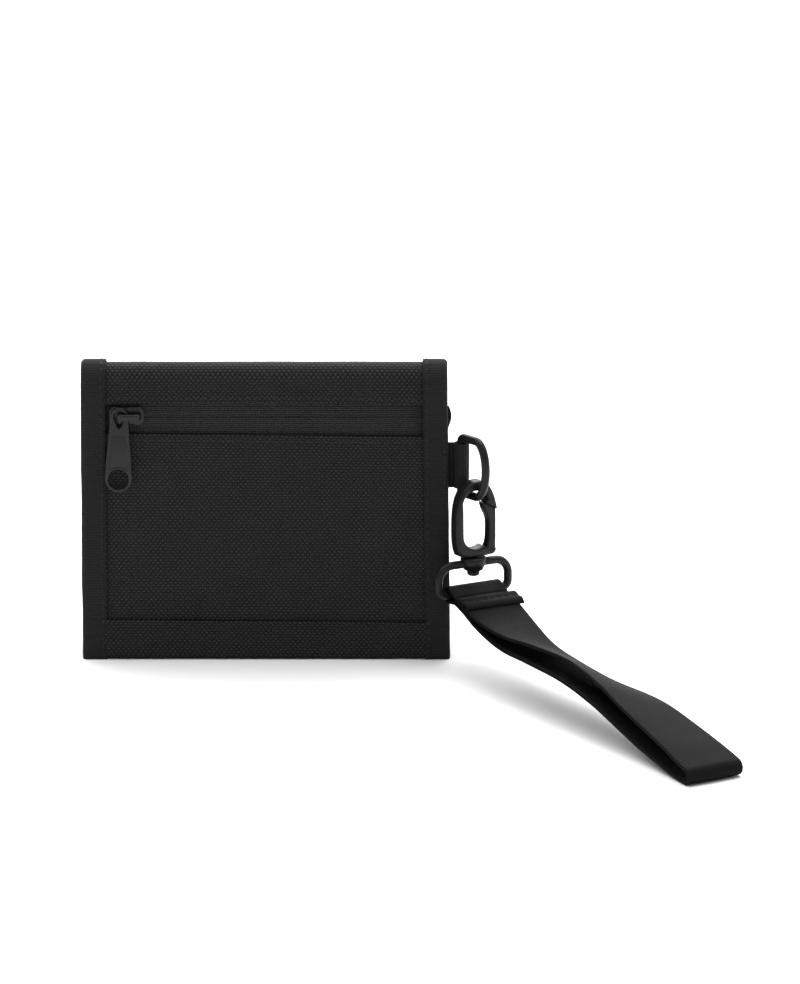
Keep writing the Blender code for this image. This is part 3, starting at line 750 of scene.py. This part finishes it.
def hem(name, node, body, outer_y, inner_y, bottom, turn, looks):
    """A strip of canvas folded round the bottom edge of one half."""
    high, inner_leg = 13.0 * MM, 8.0 * MM
    depth = abs(inner_y - outer_y)
    way_in = 1.0 if inner_y > outer_y else -1.0
    half = SHOWN_HALF_WIDTH + 1.5 * MM
    around = high + inner_leg + depth
    tilt = turn.to_3x3()

    def place(u, v):
        x = u - half
        leg = high - 0.0105 * x
        deep, reach, (out_deep, out_reach) = channel(v / around, depth, -bottom, leg, inner_leg, 0.9 * MM)
        out = Vector((0.0, way_in * out_deep, -out_reach))
        lip = 0.25 * MM * hill(v, 0.0, 1.0 * MM) - 0.12 * MM * hill(v, 2.4 * MM, 1.2 * MM)
        point = Vector((x, outer_y + way_in * deep, -reach)) + out * (crinkle(x, v, 0.14 * MM) * 0.8 + lip)
        return turn @ point, tilt @ out

    mesh = cloth_mesh(name, place, 2 * half, (0.0, around), 0.6 * MM, 1.3 * MM)
    finish_piece(name, mesh, looks["canvas"], body, (node,))


def pocket_sheet(name, node, body, y, bottom, top, face, thickness, turn, looks, columns=1):
    """A lining pocket with a hemmed top edge; face is -1 or 1 for the side it shows, along Y."""
    tilt = turn.to_3x3()
    out = tilt @ Vector((0.0, face, 0.0))
    half = CLOTH_HALF_WIDTH - 0.3 * MM

    def place(u, v):
        x = u - half
        z = top - v
        hemmed = 0.12 * MM * smooth_step((7.0 * MM - v) / (0.8 * MM))
        hemmed -= 0.1 * MM * hill(v, 6.0 * MM, 0.5 * MM)
        return turn @ Vector((x, y, z)) + out * (hemmed + crinkle(x, z, 0.07 * MM)), out

    mesh = cloth_mesh(name, place, 2 * half, (0.0, top - bottom), thickness, 2.0 * MM, 0.2 * MM)
    finish_piece(name, mesh, looks["lining"], body, (node,))

    def across(s):
        point, _ = place(s + half, 6.0 * MM)
        return point + out * (thickness / 2 - 0.05 * MM), out

    def down(s):
        return place(half, s)[0] + out * (thickness / 2 - 0.05 * MM), out

    ends = (-SHOWN_HALF_WIDTH, SHOWN_HALF_WIDTH)
    size = (1.8 * MM, 0.8 * MM, 0.12 * MM)
    sew(f"stitches_{name}", across, *ends, looks, body, "lining", *size)
    if columns == 2:
        foot = top - bottom - 9.0 * MM
        sew(f"divider_{name}", down, 1.0 * MM, foot, looks, body, "lining", *size)


def closure_patch(name, node, body, y, face, turn, slot, looks):
    """A strip of hook or loop tape, sewn on round its edge."""
    half, low, high = 22.0 * MM, 9.0 * MM, 25.0 * MM
    out = turn.to_3x3() @ Vector((0.0, face, 0.0))

    def place(u, v):
        pile = 0.1 * MM * noise.noise(Vector((u * 1500.0, v * 1500.0, 0.0)))
        border = min(u, v, 2 * half - u, high - low - v)
        pile -= 0.12 * MM * hill(border, 1.2 * MM, 0.5 * MM)
        return turn @ Vector((u - half, y, high - v)) + out * pile, out

    mesh = cloth_mesh(name, place, 2 * half, (0.0, high - low), 0.4 * MM, 0.5 * MM, 0.3 * MM)
    finish_piece(name, mesh, looks[slot], body, (node,))
    for where, v in (("top", 1.2 * MM), ("foot", high - low - 1.2 * MM)):

        def seam(s, v=v):
            return place(s, v)[0] + out * (0.15 * MM), out

        ends = (1.5 * MM, 2 * half - 1.5 * MM)
        sew(f"{name}_{where}", seam, *ends, looks, body, slot, 1.8 * MM, 0.8 * MM, 0.14 * MM)


def sleeve_corner(looks):
    """The note sleeve's corner, which shows past the right-hand binding."""
    low, high = 77.4 * MM, 85.6 * MM

    def place(u, v):
        bulge = 1.15 * MM * math.sin(math.pi * min(1.0, (v + 0.8 * MM) / (high - low)))
        x = HALF_WIDTH - 3.0 * MM + u * (3.0 * MM + bulge) / (4.0 * MM)
        return Vector((x, 1.6 * MM + 0.3 * MM * math.sin(u / MM), high - v)), Vector((0.0, 1.0, 0.0))

    mesh = cloth_mesh("sleeve_corner", place, 4.0 * MM, (0.0, high - low), 0.9 * MM, 0.8 * MM)
    finish_piece("sleeve_corner", mesh, looks["binding"], "zip_half")


# ---------------------------------------------------------------- zip


def zip_tape(name, node, side, looks):
    """One side of the zip's tape: a lip at the slit, then ribs along it."""
    slit, height = 0.08 * MM, 8.6 * MM
    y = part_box("zip_tape_upper")[0].y + 0.2 * MM
    half = CLOTH_HALF_WIDTH - 0.2 * MM

    def place(u, v):
        x = u - half
        ribs = 0.09 * MM * math.cos(2 * math.pi * v / (1.45 * MM)) * smooth_step((5.0 * MM - v) / MM)
        lip = 0.22 * MM * hill(v, 0.3 * MM, 0.7 * MM)
        sway = 0.12 * MM * noise.noise(Vector((x * 60.0, side, 0.0)))
        out = lip + ribs + crinkle(x, v, 0.1 * MM)
        return Vector((x, y - out, ZIP_Z + side * (slit / 2 + v) + sway)), AHEAD.copy()

    mesh = cloth_mesh(name, place, 2 * half, (0.0, height), 0.35 * MM, 0.36 * MM, 0.15 * MM)
    finish_piece(name, mesh, looks["zip_tape"], "zip_half", (node,))


def zip_coil(name, node, side, looks):
    """A helix of nylon wire along one side of the slit."""
    pitch, wire_radius = 1.27 * MM, 0.17 * MM
    turns = int(2 * (HALF_WIDTH - 6.0 * MM) / pitch)
    middle_y = (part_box(node)[0].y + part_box(node)[1].y) / 2
    steps = 10
    points = []
    for n in range(turns * steps + 1):
        angle = 2 * math.pi * n / steps
        x = -turns * pitch / 2 + n * pitch / steps + (pitch / 2 if side > 0 else 0.0)
        z = ZIP_Z + side * 0.85 * MM + 0.75 * MM * math.cos(angle)
        points.append((x, middle_y + 0.28 * MM * math.sin(angle), z))
    mesh = tube_mesh(name, points, wire_radius, False, Matrix.Identity(4), 1)
    finish_piece(name, mesh, looks["zip_coil"], "zip_half", (node,))


def rounded_box(width, height, radius, steps=5, waist=0.0):
    """The outline of a rectangle with round corners; waist pulls in its long sides."""
    a, b = width / 2 - radius, height / 2 - radius
    corners = (((a, b), 0.0), ((-a, b), 90.0), ((-a, -b), 180.0), ((a, -b), 270.0))
    points = []
    for centre, start in corners:
        points += arc(centre, radius, start, start + 90.0, steps)
    if waist:
        points.insert(steps + 1, (0.0, b + radius - waist))
        points.insert(3 * (steps + 1) + 1, (0.0, -b - radius + waist))
    return points


def slider(looks):
    """Front and back plates, the post between them and the bridge that holds the pull."""
    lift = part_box("zip_slider")[0].y
    pivot = Vector(JOINTS["pull_swing"]["pos_m"])
    centre_x = -45.0 * MM
    # outline, thickness, bevel, place along Y
    plates = {
        "plate": (rounded_box(11.4 * MM, 6.0 * MM, 1.5 * MM, 6, 0.3 * MM), 1.3 * MM, 0.35 * MM, -2.35 * MM),
        "back": (rounded_box(9.0 * MM, 5.6 * MM, 1.3 * MM, 6, 0.3 * MM), 0.6 * MM, 0.2 * MM, 0.75 * MM),
        "post": (rounded_box(3.0 * MM, 0.8 * MM, 0.39 * MM), 2.8 * MM, 0.1 * MM, -0.8 * MM),
    }
    for part, (outline, thickness, bevel, y) in plates.items():
        turn = Matrix.Translation((centre_x, y, pivot.z)) @ UPRIGHT
        mesh = flat_mesh(f"slider_{part}", outline, (), thickness, bevel, turn)
        nodes = ("zip_slider",) if part == "plate" else ()
        finish_piece(f"slider_{part}", mesh, looks["slider"], "slider", nodes)

    foot, radius = -2.6 * MM, 0.75 * MM
    left, right = pivot.x, pivot.x + 6.4 * MM
    outer = [(left - radius, foot), *arc((left + 1.0 * MM, lift + 1.75 * MM), 1.75 * MM, 180.0, 262.0, 7)]
    outer += [(left + 2.6 * MM, lift), (right - 1.6 * MM, lift)]
    outer += arc((right - 0.9 * MM, lift + 1.6 * MM), 1.6 * MM, 275.0, 360.0, 7)
    outer += [(right + 0.7 * MM, foot)]
    inner = [(right - 0.7 * MM, foot), (right - 0.75 * MM, lift + 2.0 * MM)]
    inner += [(right - 1.5 * MM, lift + 1.25 * MM), (left + 1.7 * MM, lift + 1.25 * MM)]
    inner += [(left + 0.8 * MM, lift + 2.0 * MM), (left + radius, foot)]
    turn = Matrix.Translation((0.0, 0.0, pivot.z))
    bridge = flat_mesh("slider_bridge", outer + inner, (), 2.1 * MM, 0.42 * MM, turn, 4)
    finish_piece("slider_bridge", bridge, looks["slider"], "slider", smooth_angle=40.0)


def pull(looks):
    """The pull: a thin plate inside a raised rim, with the slider's hole above and an oval hole below."""
    low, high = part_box("pull_tab")
    pivot = Vector(JOINTS["pull_swing"]["pos_m"])
    middle = (low.y + high.y) / 2
    lean = Matrix.Rotation(math.radians(1.7), 4, "Y")
    place = Matrix.Translation((pivot.x, middle, pivot.z)) @ lean @ UPRIGHT
    drop, end = 21.0 * MM, 4.45 * MM
    outline = arc((0.0, 0.0), 3.05 * MM, -12.0, 192.0, 20)
    outline += [(-3.15 * MM, -3.4 * MM), (-3.35 * MM, -6.0 * MM), (-4.1 * MM, -14.5 * MM)]
    outline += arc((0.0, -drop), end, 172.0, 368.0, 24)
    outline += [(4.1 * MM, -14.5 * MM), (3.35 * MM, -6.0 * MM), (3.15 * MM, -3.4 * MM)]
    eye = arc((0.0, 0.1 * MM), 1.85 * MM, -10.0, 190.0, 14) + in_mm([(-0.7, -3.2), (0.0, -3.9), (0.7, -3.2)])
    oval = arc((0.0, -drop - 0.1 * MM), 3.35 * MM, 0.0, 345.0, 23, 1.02)
    panel = [(2.2 * MM, -6.3 * MM), (-2.2 * MM, -6.3 * MM), (-3.0 * MM, -15.9 * MM)]
    panel += arc((0.0, -drop - 0.1 * MM), 4.25 * MM, 128.0, 52.0, 6) + [(3.0 * MM, -15.9 * MM)]
    thickness = high.y - low.y
    rim = flat_mesh("pull_rim", outline, (eye, panel, oval), thickness, 0.28 * MM, place)
    finish_piece("pull_rim", rim, looks["slider"], "pull", ("pull_tab",))
    grown = [(a * 1.06, b + (b + 11.0 * MM) * 0.05) for a, b in panel]
    plate = flat_mesh("pull_plate", grown, (), thickness * 0.55, 0.1 * MM, place)
    finish_piece("pull_plate", plate, looks["slider"], "pull")


# ---------------------------------------------------------------- side hardware


def d_ring_tab(looks):
    """Webbing sewn into the binding, round the D-ring's bar and back."""
    low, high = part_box("d_ring_tab")
    layer, wrap = 0.4 * MM, 2.32 * MM
    start = 54.0 * MM
    lead = math.asin(layer / wrap)
    straight = BAR.x - wrap * math.cos(lead) - start
    around = wrap * (2 * math.pi - 2 * lead)
    length = 2 * straight + around

    def path(v):
        if v < straight:
            return Vector((start + v, BAR.y - layer, 0.0)), AHEAD.copy()
        if v < straight + around:
            angle = math.pi + lead + (v - straight) / wrap
            out = Vector((math.cos(angle), math.sin(angle), 0.0))
            return Vector((BAR.x, BAR.y, 0.0)) + out * wrap, out
        return Vector((start + length - v, BAR.y + layer, 0.0)), -AHEAD

    def place(u, v):
        point, out = path(v)
        pinch = 0.25 * MM * hill(v, straight, 0.8 * MM) + 0.25 * MM * hill(v, straight + around, 0.8 * MM)
        return point + UP * (low.z + u) + out * (crinkle(u, v, 0.05 * MM) - pinch * 0.3), out

    name, height = "d_ring_tab_webbing", high.z - low.z
    mesh = cloth_mesh(name, place, height, (0.0, length), 0.72 * MM, 0.55 * MM, 0.3 * MM)
    finish_piece(name, mesh, looks["tab"], "zip_half", ("d_ring_tab",), flare=False)

    def seam(s):
        return Vector((HALF_WIDTH - 1.3 * MM, FRONT, low.z + s)), AHEAD.copy()

    end = high.z - low.z - 0.5 * MM
    sew("stitches_tab", seam, 1.0 * MM, end, looks, "zip_half", "binding", 2.0 * MM, 0.8 * MM)


def d_ring(looks):
    """The D-shaped wire in the tab."""
    high, leg, depth, corner = 9.4 * MM, 7.5 * MM, 12.5 * MM, 1.54 * MM
    path = arc((corner, -high + corner), corner, 180.0, 270.0, 8)
    path += [(leg * 0.55, -high)]
    path += [(leg + (depth - leg) * a, high * b) for a, b in arc((0.0, 0.0), 1.0, -90.0, 90.0, 40)]
    path += [(leg * 0.55, high)]
    path += arc((corner, high - corner), corner, 90.0, 180.0, 8)
    place = Matrix.Translation(BAR) @ Matrix.Rotation(D_TURN, 4, "Z")
    mesh = tube_mesh("d_ring_wire", [(x, 0.0, z) for x, z in path], WIRE_RADIUS, True, place, 8)
    finish_piece("d_ring_wire", mesh, looks["hardware"], "ring", ("d_ring",))


def hook_place(turn):
    return Matrix.Translation(HANG) @ Matrix.Rotation(turn, 4, "Z")


def cut_corners(points):
    """A closed outline with each corner cut off at a quarter of its sides."""
    cut = []
    for n, (a, b) in enumerate(points):
        c, d = points[(n + 1) % len(points)]
        cut += [(a * 0.75 + c * 0.25, b * 0.75 + d * 0.25), (a * 0.25 + c * 0.75, b * 0.25 + d * 0.75)]
    return cut


def snap_hook(looks):
    """The hook's curved body with its nose, foot, post and knob."""
    outline = [(-6.0, -20.2), (6.2, -20.2), (7.4, -19.3), (7.7, -18.2), (7.3, -17.75)]
    outline += [(4.6, -17.7), (3.4, -17.2)]
    outline += arc((0.1, -12.6), 4.9, -55.0, -180.0, 10)
    outline += [(-4.85, -7.5), (-4.9, -3.2)]
    outline += arc((-0.3, -2.6), 4.9, 168.0, 20.0, 14)
    outline += [(3.3, -2.3), (5.6, -3.7), (7.5, -4.8), (7.9, -4.6), (7.7, -3.2), (6.6, 0.6), (4.6, 4.0)]
    outline += [(2.6, 5.3), (0.6, 5.6), (-2.2, 5.0), (-5.0, 3.0), (-6.9, -0.8), (-7.6, -6.0)]
    outline += [(-7.6, -12.5), (-7.3, -16.5)]
    outline = in_mm(cut_corners(outline))
    place = hook_place(HOOK_TURN)
    mesh = flat_mesh("hook_frame", outline, (), 4.8 * MM, 0.85 * MM, place @ UPRIGHT, 5)
    finish_piece("hook_frame", mesh, looks["hardware"], "hook", ("hook_body",), 50.0)
    profile = [(0.3, -26.8), (1.6, -26.8), (2.05, -26.4), (2.1, -25.6), (1.9, -25.2), (1.5, -25.1)]
    profile += [(1.5, -19.6), (0.3, -19.6)]
    post = turned_mesh("hook_post", in_mm(profile), place, 32)
    finish_piece("hook_post", post, looks["hardware"], "hook", smooth_angle=40.0)


def hook_gate(looks):
    """The gate, thicker at its foot, with the small step that meets the nose."""
    outline = [(3.9, -17.9), (4.2, -18.3), (7.2, -18.3), (7.7, -17.7), (7.65, -4.9), (7.35, -4.45)]
    outline += [(3.2, -2.1)]
    outline += [(2.6, -2.5), (3.3, -4.7), (4.6, -7.2), (5.1, -9.2), (5.1, -13.5), (4.8, -16.2)]
    outline = in_mm(cut_corners(outline))
    place = hook_place(HOOK_TURN) @ UPRIGHT
    mesh = flat_mesh("hook_gate_tongue", outline, (), 3.4 * MM, 0.5 * MM, place, 4)
    finish_piece("hook_gate_tongue", mesh, looks["hardware"], "gate", ("hook_gate",), 50.0)


def swivel_ring(looks):
    """The rectangular ring, and the collar that turns on the hook's post."""
    wide, top, low = 13.0 * MM, -22.6 * MM, RING_BAR_Z
    upper, lower = 5.0 * MM, 2.5 * MM
    path = arc((wide - upper, top - upper), upper, 90.0, 0.0, 14)
    path += arc((wide - lower, low + lower), lower, 0.0, -90.0, 9)
    path += arc((-wide + lower, low + lower), lower, -90.0, -180.0, 9)
    path += arc((-wide + upper, top - upper), upper, 180.0, 90.0, 14)
    inside_collar = 2.0 * MM
    path = [(inside_collar, top), *path, (-inside_collar, top)]
    place = hook_place(RING_TURN)
    mesh = tube_mesh("swivel_wire", [(x, 0.0, z) for x, z in path], WIRE_RADIUS, False, place, 8)
    finish_piece("swivel_wire", mesh, looks["hardware"], "swivel", ("swivel_ring",), 60.0)
    profile = [(1.9, -24.9), (2.9, -24.9), (3.25, -24.65), (3.65, -23.6), (4.2, -22.95), (4.3, -22.6)]
    profile += [(4.3, -20.95), (4.15, -20.65), (3.9, -20.5), (1.9, -20.5)]
    collar = turned_mesh("swivel_collar", in_mm(profile), place, 40)
    finish_piece("swivel_collar", collar, looks["hardware"], "swivel", smooth_angle=35.0)


# ---------------------------------------------------------------- wrist strap

# (distance from the bar, height, roll in degrees, half of the gap between runs, sideways)
STRAP_STATIONS = (
    (5.5, 23.3, 0.0, 0.80, 0.0),
    (12.0, 21.6, 0.0, 0.80, 0.0),
    (20.0, 18.9, 3.0, 1.10, 0.0),
    (35.0, 14.9, 15.0, 2.00, 0.4),
    (50.0, 13.4, 25.0, 2.80, 1.5),
    (68.0, 12.4, 29.0, 3.20, 3.2),
    (86.0, 11.2, 20.0, 3.20, 4.6),
    (100.0, 9.2, 11.0, 3.20, 5.5),
    (114.0, 6.6, 6.0, 3.20, 6.2),
    (126.0, 4.7, 3.0, 2.90, 6.6),
    (134.0, 3.4, 0.0, 2.40, 6.9),
    (138.5, 2.8, 0.0, 2.05, 7.0),
)
STRAP_WIDTH = 20.0 * MM
STRAP_THICKNESS = 1.2 * MM


def catmull_rom(before, start, end, after, t):
    bend = 2 * before - 5 * start + 4 * end - after
    twist = 3 * start - before - 3 * end + after
    return 0.5 * (2 * start + (end - before) * t + bend * t * t + twist * t * t * t)


def lean_run(frame, distance):
    """The lower run: its far edge lies against the upper run, so that the loop opens on the near side."""
    point, forward, across, up, gap = frame
    closing = smooth_step((distance - 14.0) / 22.0) * smooth_step((134.0 - distance) / 30.0)
    near = point - up * gap - across * (STRAP_WIDTH / 2)
    raised = up * (max(0.0, 2 * gap - 1.5 * MM) * closing)
    far = point - up * gap + across * (STRAP_WIDTH / 2) + raised
    leaning = (far - near).normalized()
    return near + leaning * (STRAP_WIDTH / 2), leaning, -(forward.cross(leaning)).normalized()


def strap_line():
    """The strap's middle line as (point, across, outward), once round from the bar and back."""
    bar = hook_place(RING_TURN) @ Vector((0.0, 0.0, RING_BAR_Z))
    side = (hook_place(RING_TURN).to_3x3() @ Vector((1.0, 0.0, 0.0))).normalized()
    ahead = Vector((side.y, -side.x, 0.0))
    rows, steps, count = [], 6, len(STRAP_STATIONS)
    for n in range(count - 1):
        near = [STRAP_STATIONS[max(0, min(count - 1, n + k))] for k in (-1, 0, 1, 2)]
        rows += [[catmull_rom(*values, step / steps) for values in zip(*near)] for step in range(steps)]
    rows.append(STRAP_STATIONS[-1])
    ground = Vector((bar.x, bar.y, 0.0))
    middles = [ground + (ahead * r[0] + side * r[4] + UP * r[1]) * MM for r in rows]
    frames = []
    for n, row in enumerate(rows):
        before = middles[n - 1] if n else bar
        forward = (middles[min(n + 1, len(rows) - 1)] - before).normalized()
        level = (side - forward * side.dot(forward)).normalized()
        across = Matrix.Rotation(-math.radians(row[2]), 3, forward) @ level
        frames.append((middles[n], forward, across, forward.cross(across), row[3] * MM))
    line = [(p + up * gap, across, up) for p, _, across, up, gap in frames]
    lower = [lean_run(frame, row[0]) for frame, row in zip(frames, rows)]
    end, forward, across, up, gap = frames[-1]
    for degrees in range(15, 180, 15):
        out = up * math.cos(math.radians(degrees)) + forward * math.sin(math.radians(degrees))
        line.append((end + out * gap, across, out))
    line += reversed(lower)
    _, forward, across, up, _ = frames[0]
    for degrees in range(-65, -296, -11):
        out = up * math.sin(math.radians(degrees)) + forward * math.cos(math.radians(degrees))
        line.append((bar + out * (2.3 * MM), across, out))
    return line


def strap_walk():
    """The strap's line as a function of the distance along it, and its whole length."""
    line = strap_line()
    line.append(line[0])
    reach = [0.0]
    for (a, _, _), (b, _, _) in zip(line, line[1:]):
        reach.append(reach[-1] + (b - a).length)

    def walk(v):
        v = min(max(v, 0.0), reach[-1])
        n = min(int(np.searchsorted(reach, v, "right")) - 1, len(line) - 2)
        t = (v - reach[n]) / max(1e-9, reach[n + 1] - reach[n])
        parts = [line[n][k].lerp(line[n + 1][k], t) for k in range(3)]
        return parts[0], parts[1].normalized(), parts[2].normalized()

    return walk, reach[-1]


def wrist_strap(looks):
    """One length of webbing, sewn into a loop, and the folded end that covers the join."""
    walk, length = strap_walk()

    def place(u, v):
        point, across, out = walk(v)
        t = u / STRAP_WIDTH * 2.0 - 1.0
        soft = 0.25 * MM * noise.noise(Vector((u * 60.0, v * 45.0, 2.2)))
        crown = 0.18 * MM * (1.0 - t * t)
        return point + across * (u - STRAP_WIDTH / 2) + out * (soft + crown), out

    name, span = "wrist_strap_webbing", (0.0, length)
    mesh = cloth_mesh(name, place, STRAP_WIDTH, span, STRAP_THICKNESS, 1.0 * MM, 0.5 * MM)
    piece = finish_piece(name, mesh, looks["webbing"], "strap", ("wrist_strap",))

    fold_start, fold_length = 1.5 * MM, 7.4 * MM
    wide = STRAP_WIDTH + 1.6 * MM

    def folded(u, v):
        point, across, out = walk(fold_start + v)
        ridges = 0.6 * MM * hill(v, 2.0 * MM, 1.5 * MM) + 0.95 * MM * hill(v, 5.6 * MM, 1.6 * MM)
        return point + across * (u - wide / 2 + 0.5 * MM) + out * (0.7 * MM + ridges), out

    fold = cloth_mesh("strap_fold", folded, wide, (0.0, fold_length), 1.1 * MM, 0.5 * MM, 0.5 * MM)
    finish_piece("strap_fold", fold, looks["webbing"], "strap")

    def seam(s):
        point, out = folded(s, 3.7 * MM)
        return point + out * (0.5 * MM), out

    ends = (1.0 * MM, wide - 1.0 * MM)
    sew("stitches_strap", seam, *ends, looks, "strap", "webbing", 1.9 * MM, 0.8 * MM)


# ---------------------------------------------------------------- studio


def camera():
    """Straight on to the zip face, from 15 degrees above."""
    distance, elevation, scale = 1.3, math.radians(15.0), 3040.0
    sight = Vector((0.0, math.cos(elevation), -math.sin(elevation)))
    top = Vector((0.0, math.sin(elevation), math.cos(elevation)))
    aim = Vector((44.4 * MM, FRONT, 50.0 * MM)) + top * (7.4 * MM)
    data = bpy.data.cameras.new("camera")
    data.sensor_fit = "HORIZONTAL"
    data.sensor_width = 36.0
    data.lens = scale * distance * 36.0 / 800.0
    made = bpy.data.objects.new("camera", data)
    made.location = aim - sight * distance
    made.rotation_euler = (math.pi / 2 - elevation, 0.0, 0.0)
    bpy.context.scene.collection.objects.link(made)
    bpy.context.scene.camera = made


def floor():
    mesh = bpy.data.meshes.new("floor")
    size = 6.0
    corners = [(-size, -size, 0), (size, -size, 0), (size, size, 0), (-size, size, 0)]
    mesh.from_pydata(corners, [], [(0, 1, 2, 3)])
    material = bpy.data.materials.new("floor_white")
    material.use_nodes = True
    shader = material.node_tree.nodes["Principled BSDF"]
    shader.inputs["Base Color"].default_value = (0.93, 0.93, 0.93, 1.0)
    shader.inputs["Roughness"].default_value = 0.7
    shader.inputs["Specular IOR Level"].default_value = 0.2
    mesh.materials.append(material)
    made = bpy.data.objects.new("floor", mesh)
    bpy.context.scene.collection.objects.link(made)


def area_light(name, place, aim, size, watts):
    data = bpy.data.lights.new(name, "AREA")
    data.shape = "RECTANGLE"
    data.size, data.size_y = size
    data.energy = watts
    made = bpy.data.objects.new(name, data)
    made.location = place
    made.rotation_euler = (Vector(aim) - Vector(place)).to_track_quat("-Z", "Y").to_euler()
    bpy.context.scene.collection.objects.link(made)


def studio():
    """A white backdrop behind the object, a darker room behind the camera and three soft lights."""
    world = bpy.data.worlds.new("studio")
    world.use_nodes = True
    tree = world.node_tree
    split = tree.nodes.new("ShaderNodeSeparateXYZ")
    tree.links.new(tree.nodes.new("ShaderNodeTexCoord").outputs["Generated"], split.inputs[0])
    room = tree.nodes.new("ShaderNodeMapRange")
    for socket, value in (("From Min", -0.6), ("From Max", 0.6), ("To Min", 0.42), ("To Max", 1.1)):
        room.inputs[socket].default_value = value
    tree.links.new(split.outputs[1], room.inputs["Value"])
    tree.links.new(room.outputs["Result"], tree.nodes["Background"].inputs["Strength"])
    tree.nodes["Background"].inputs["Color"].default_value = (1.0, 1.0, 1.0, 1.0)
    bpy.context.scene.world = world
    area_light("overhead", (0.0, 0.8, 1.7), (0.04, 0.5, 0.0), (3.4, 3.4), 72.0)
    area_light("key", (0.3, 0.15, 1.2), (0.04, 0.0, 0.05), (0.6, 0.6), 4.0)
    area_light("far_floor", (0.0, 3.6, 1.8), (0.0, 3.4, 0.0), (4.0, 3.0), 90.0)
    bpy.context.scene.view_settings.view_transform = "Standard"


def main():
    looks = make_looks()
    camera()
    floor()
    studio()
    outer_canvas(looks)
    inner_lining(looks)
    side_binding("left", -1, looks)
    side_binding("right", 1, looks)
    pocket_front(looks)
    upright = Matrix.Identity(4)
    hem("hem_front", "hem_band_zip_side", "zip_half", FRONT + 0.3 * MM, 2.95 * MM, 0.3 * MM, upright, looks)
    cover_hem = (8.55 * MM, 4.15 * MM, COVER_BOTTOM + 0.3 * MM)
    hem("hem_cover", "hem_band_cover_side", "cover_half", *cover_hem, COVER_TILT, looks)
    low = 1.2 * MM
    sleeve = (2.15 * MM, low, 86 * MM, 1, 0.3 * MM, upright)
    pocket_sheet("note_sleeve", "bill_sleeve_panel", "zip_half", *sleeve, looks)
    cards = (("card_sleeve", "card_sleeve_panel", 6.15, 86.0, 1),)
    cards += (("slot_lower", "card_slot_1", 5.5, 72.0, 2),)
    cards += (("slot_front", "card_slot_2", 4.9, 58.0, 2),)
    for name, node, y, top, columns in cards:
        place = (y * MM, low + COVER_BOTTOM, top * MM, -1, 0.3 * MM, COVER_TILT)
        pocket_sheet(name, node, "cover_half", *place, looks, columns)
    loop = (2.9 * MM, 1, upright, "loop_pile", looks)
    closure_patch("loop_tape", "closure_loop_patch", "zip_half", *loop)
    hook = (4.2 * MM, -1, COVER_TILT, "hook_pile", looks)
    closure_patch("hook_tape", "closure_hook_patch", "cover_half", *hook)
    sleeve_corner(looks)
    for name, side in (("upper", 1), ("lower", -1)):
        zip_tape(f"tape_{name}", f"zip_tape_{name}", side, looks)
        zip_coil(f"coil_{name}", f"zip_coil_{name}", side, looks)
    slider(looks)
    pull(looks)
    d_ring_tab(looks)
    d_ring(looks)
    snap_hook(looks)
    hook_gate(looks)
    swivel_ring(looks)
    wrist_strap(looks)


main()
